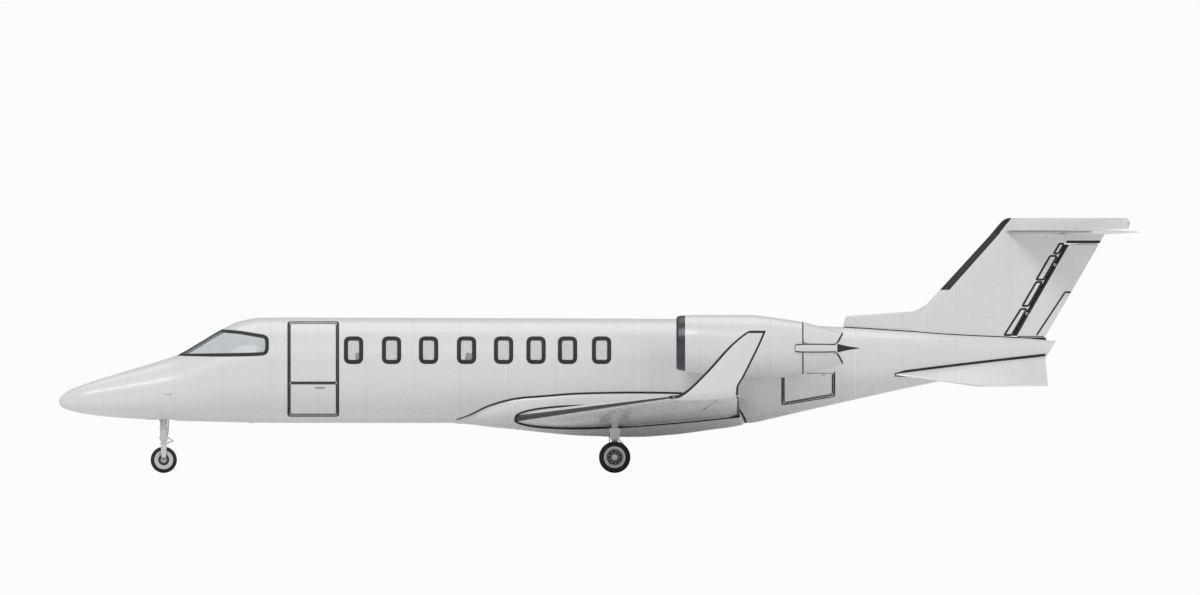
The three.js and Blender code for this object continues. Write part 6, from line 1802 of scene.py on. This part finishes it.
def seat_pieces(name, node_name, seats, frame_material, rails=()):
    """Several seats of one side as cushions, piping and frames."""
    kind, label = name
    soft, seams, hard = [sum(parts, []) for parts in zip(*seats)]
    cushions = piece(f"{kind}_cushions_{label}", soft, [LEATHER], AIRFRAME, f"{node_name}_{label}", 60)
    piece(f"{kind}_piping_{label}", seams, [STITCH], sharp=60)
    piece(f"{kind}_seat_frames_{label}", hard + list(rails), [frame_material], sharp=50)


CABIN_SEATS = [(-3.640, -1), (-2.470, 1), (-1.760, -1), (-0.560, 1)]
LEDGE_Z, LEDGE_DEPTH = np.array([[1.56, 1.60, 1.62, 1.62]]), np.array([[0.00, 0.075, 0.078, 0.0]])
for label, sign in SIDES:
    rails = [block((-2.10, sign * SEAT_Y + off, SEAT_BASE + 0.008), (3.28, 0.030, 0.016), 0.15, 8, 40)
             for off in (-0.09, 0.09)]
    rows = [seat(x, sign * SEAT_Y, facing, 0.440) for x, facing in CABIN_SEATS]
    seat_pieces(("cabin", label), "cabin_seats", rows, LINING, rails)
    seat_pieces(("crew", label), "pilot_seat", [seat(-5.940, sign * CREW_Y, 1, 0.430)], DARK_PLASTIC)
    # side ledge with a polished trim strip under the cabin windows
    x = np.linspace(-4.20, 0.50, 40)[:, None]
    ledge_y = sign * (side_y(x, LEDGE_Z, WALL + 0.002) - LEDGE_DEPTH)
    piece(f"side_ledge_{label}", capped(points(x, ledge_y, LEDGE_Z)), [WOOD_TRIM], sharp=40)

# Instrument panel with screens, a hood, a centre pedestal and two control yokes
PANEL = [(-6.760, 1.780), (-6.600, 1.420), (-6.560, 1.420), (-6.590, 1.900), (-6.700, 1.870)]
panel = carve(plate(PANEL, 0.02, 0.9), [hollow(-6.80, -6.50, 8, WALL + 0.002, 0)], "INTERSECT")
hood = carve(block((-6.60, 0, 1.905), (0.20, 1.10, 0.035), 0.25, 12, 48),
             [hollow(-6.80, -6.45, 8, WALL + 0.002, 0)], "INTERSECT")
controls = [block((-6.36, 0, 1.20), (0.42, 0.185, 0.36), 0.14, 14, 40)]
for y in (-0.40, -0.135, 0.135, 0.40):
    controls.append(block((-6.572, y, 1.715), (0.012, 0.235, 0.165), 0.12, 8, 40, 1))
    controls += [block((-6.566, y - 0.09 + 0.036 * k, 1.615), (0.012, 0.018, 0.010), 0.3, 6, 12, 2) for k in range(6)]
for y in (-0.03, 0.03):
    controls += [rod((-6.36, y, 1.37), (-6.40, y, 1.47), 0.006, 12, 2),
                 block((-6.403, y, 1.476), (0.022, 0.034, 0.022), 0.5, 10, 16)]
piece("instrument_panel_parts", [panel, hood, *controls], [DARK_PLASTIC, SCREEN, BARE_METAL], AIRFRAME,
      "instrument_panel", 40)
yokes = []
for y in (-0.33, 0.33):
    turn = np.linspace(-0.25 * np.pi, 1.25 * np.pi, 30)
    horn = pipe(points(-6.35, y - 0.1395 * np.cos(turn), 1.50 - 0.095 * np.sin(turn)), 0.014, 12)
    yokes += [horn, rod((-6.58, y, 1.50), (-6.35, y, 1.50), 0.013, 14, 2),
              block((-6.352, y, 1.50), (0.03, 0.16, 0.07), 0.4, 12, 24)]
piece("control_yokes", yokes, [DARK_PLASTIC, SCREEN, BARE_METAL], sharp=50)

# Jacking pads, probes and wicks
pads = [rod((-5.70, 0, 0.8195), (-5.70, 0, 0.87), 0.0445, 32)]
pads += [rod((0.62, s * 1.05, 0.7925), (0.62, s * 1.05, 0.85), 0.0445, 32) for s in (1, -1)]
metal("jacking_pads", pads)
probes = []
for side in (1, -1):
    (foot,), (out,) = on_skin([(-7.02, 1.30)], side)
    t = np.linspace(0, 1, 8)[:, None]
    mast, head = foot + out * 0.075 * t, foot + out * (0.075 + 0.012 * t[1:]) + np.array([-0.10, 0, 0]) * t[1:]
    probes.append(pipe(np.vstack([mast, head]), 0.006, 12))
metal("pitot_probes", probes)
wicks = []
for y in (4.9, 5.6, 6.3):
    at = np.array([float(wing_lines(y)[1]), y, float(wing_height(y, 1.0, 0))])
    wicks.append(rod(at - (0.03, 0, 0), at + (0.09, 0, 0), 0.0022, 8))
both("static_wicks", wicks, [DARK_SEAL], "aileron_surface")


def ground(half=120):
    """A plain pale floor with the soft, fine mottling of a painted studio floor."""
    pale = (0.90, 0.90, 0.90)
    material, tree, shader, place = new_material("pale_floor", pale, 0.8)
    fine = ranged(tree, noise(tree, place, 1.5, 6.0), 0.3, 0.7)
    fill(tree, shader, {"Base Color": mixed(tree, fine, opaque(pale), (0.915, 0.915, 0.915, 1))})
    mesh = bpy.data.meshes.new("studio_floor")
    mesh.from_pydata([(-half, -half, 0), (half, -half, 0), (half, half, 0), (-half, half, 0)], [], [(0, 1, 2, 3)])
    mesh.materials.append(material)
    added("studio_floor", mesh)


ground()
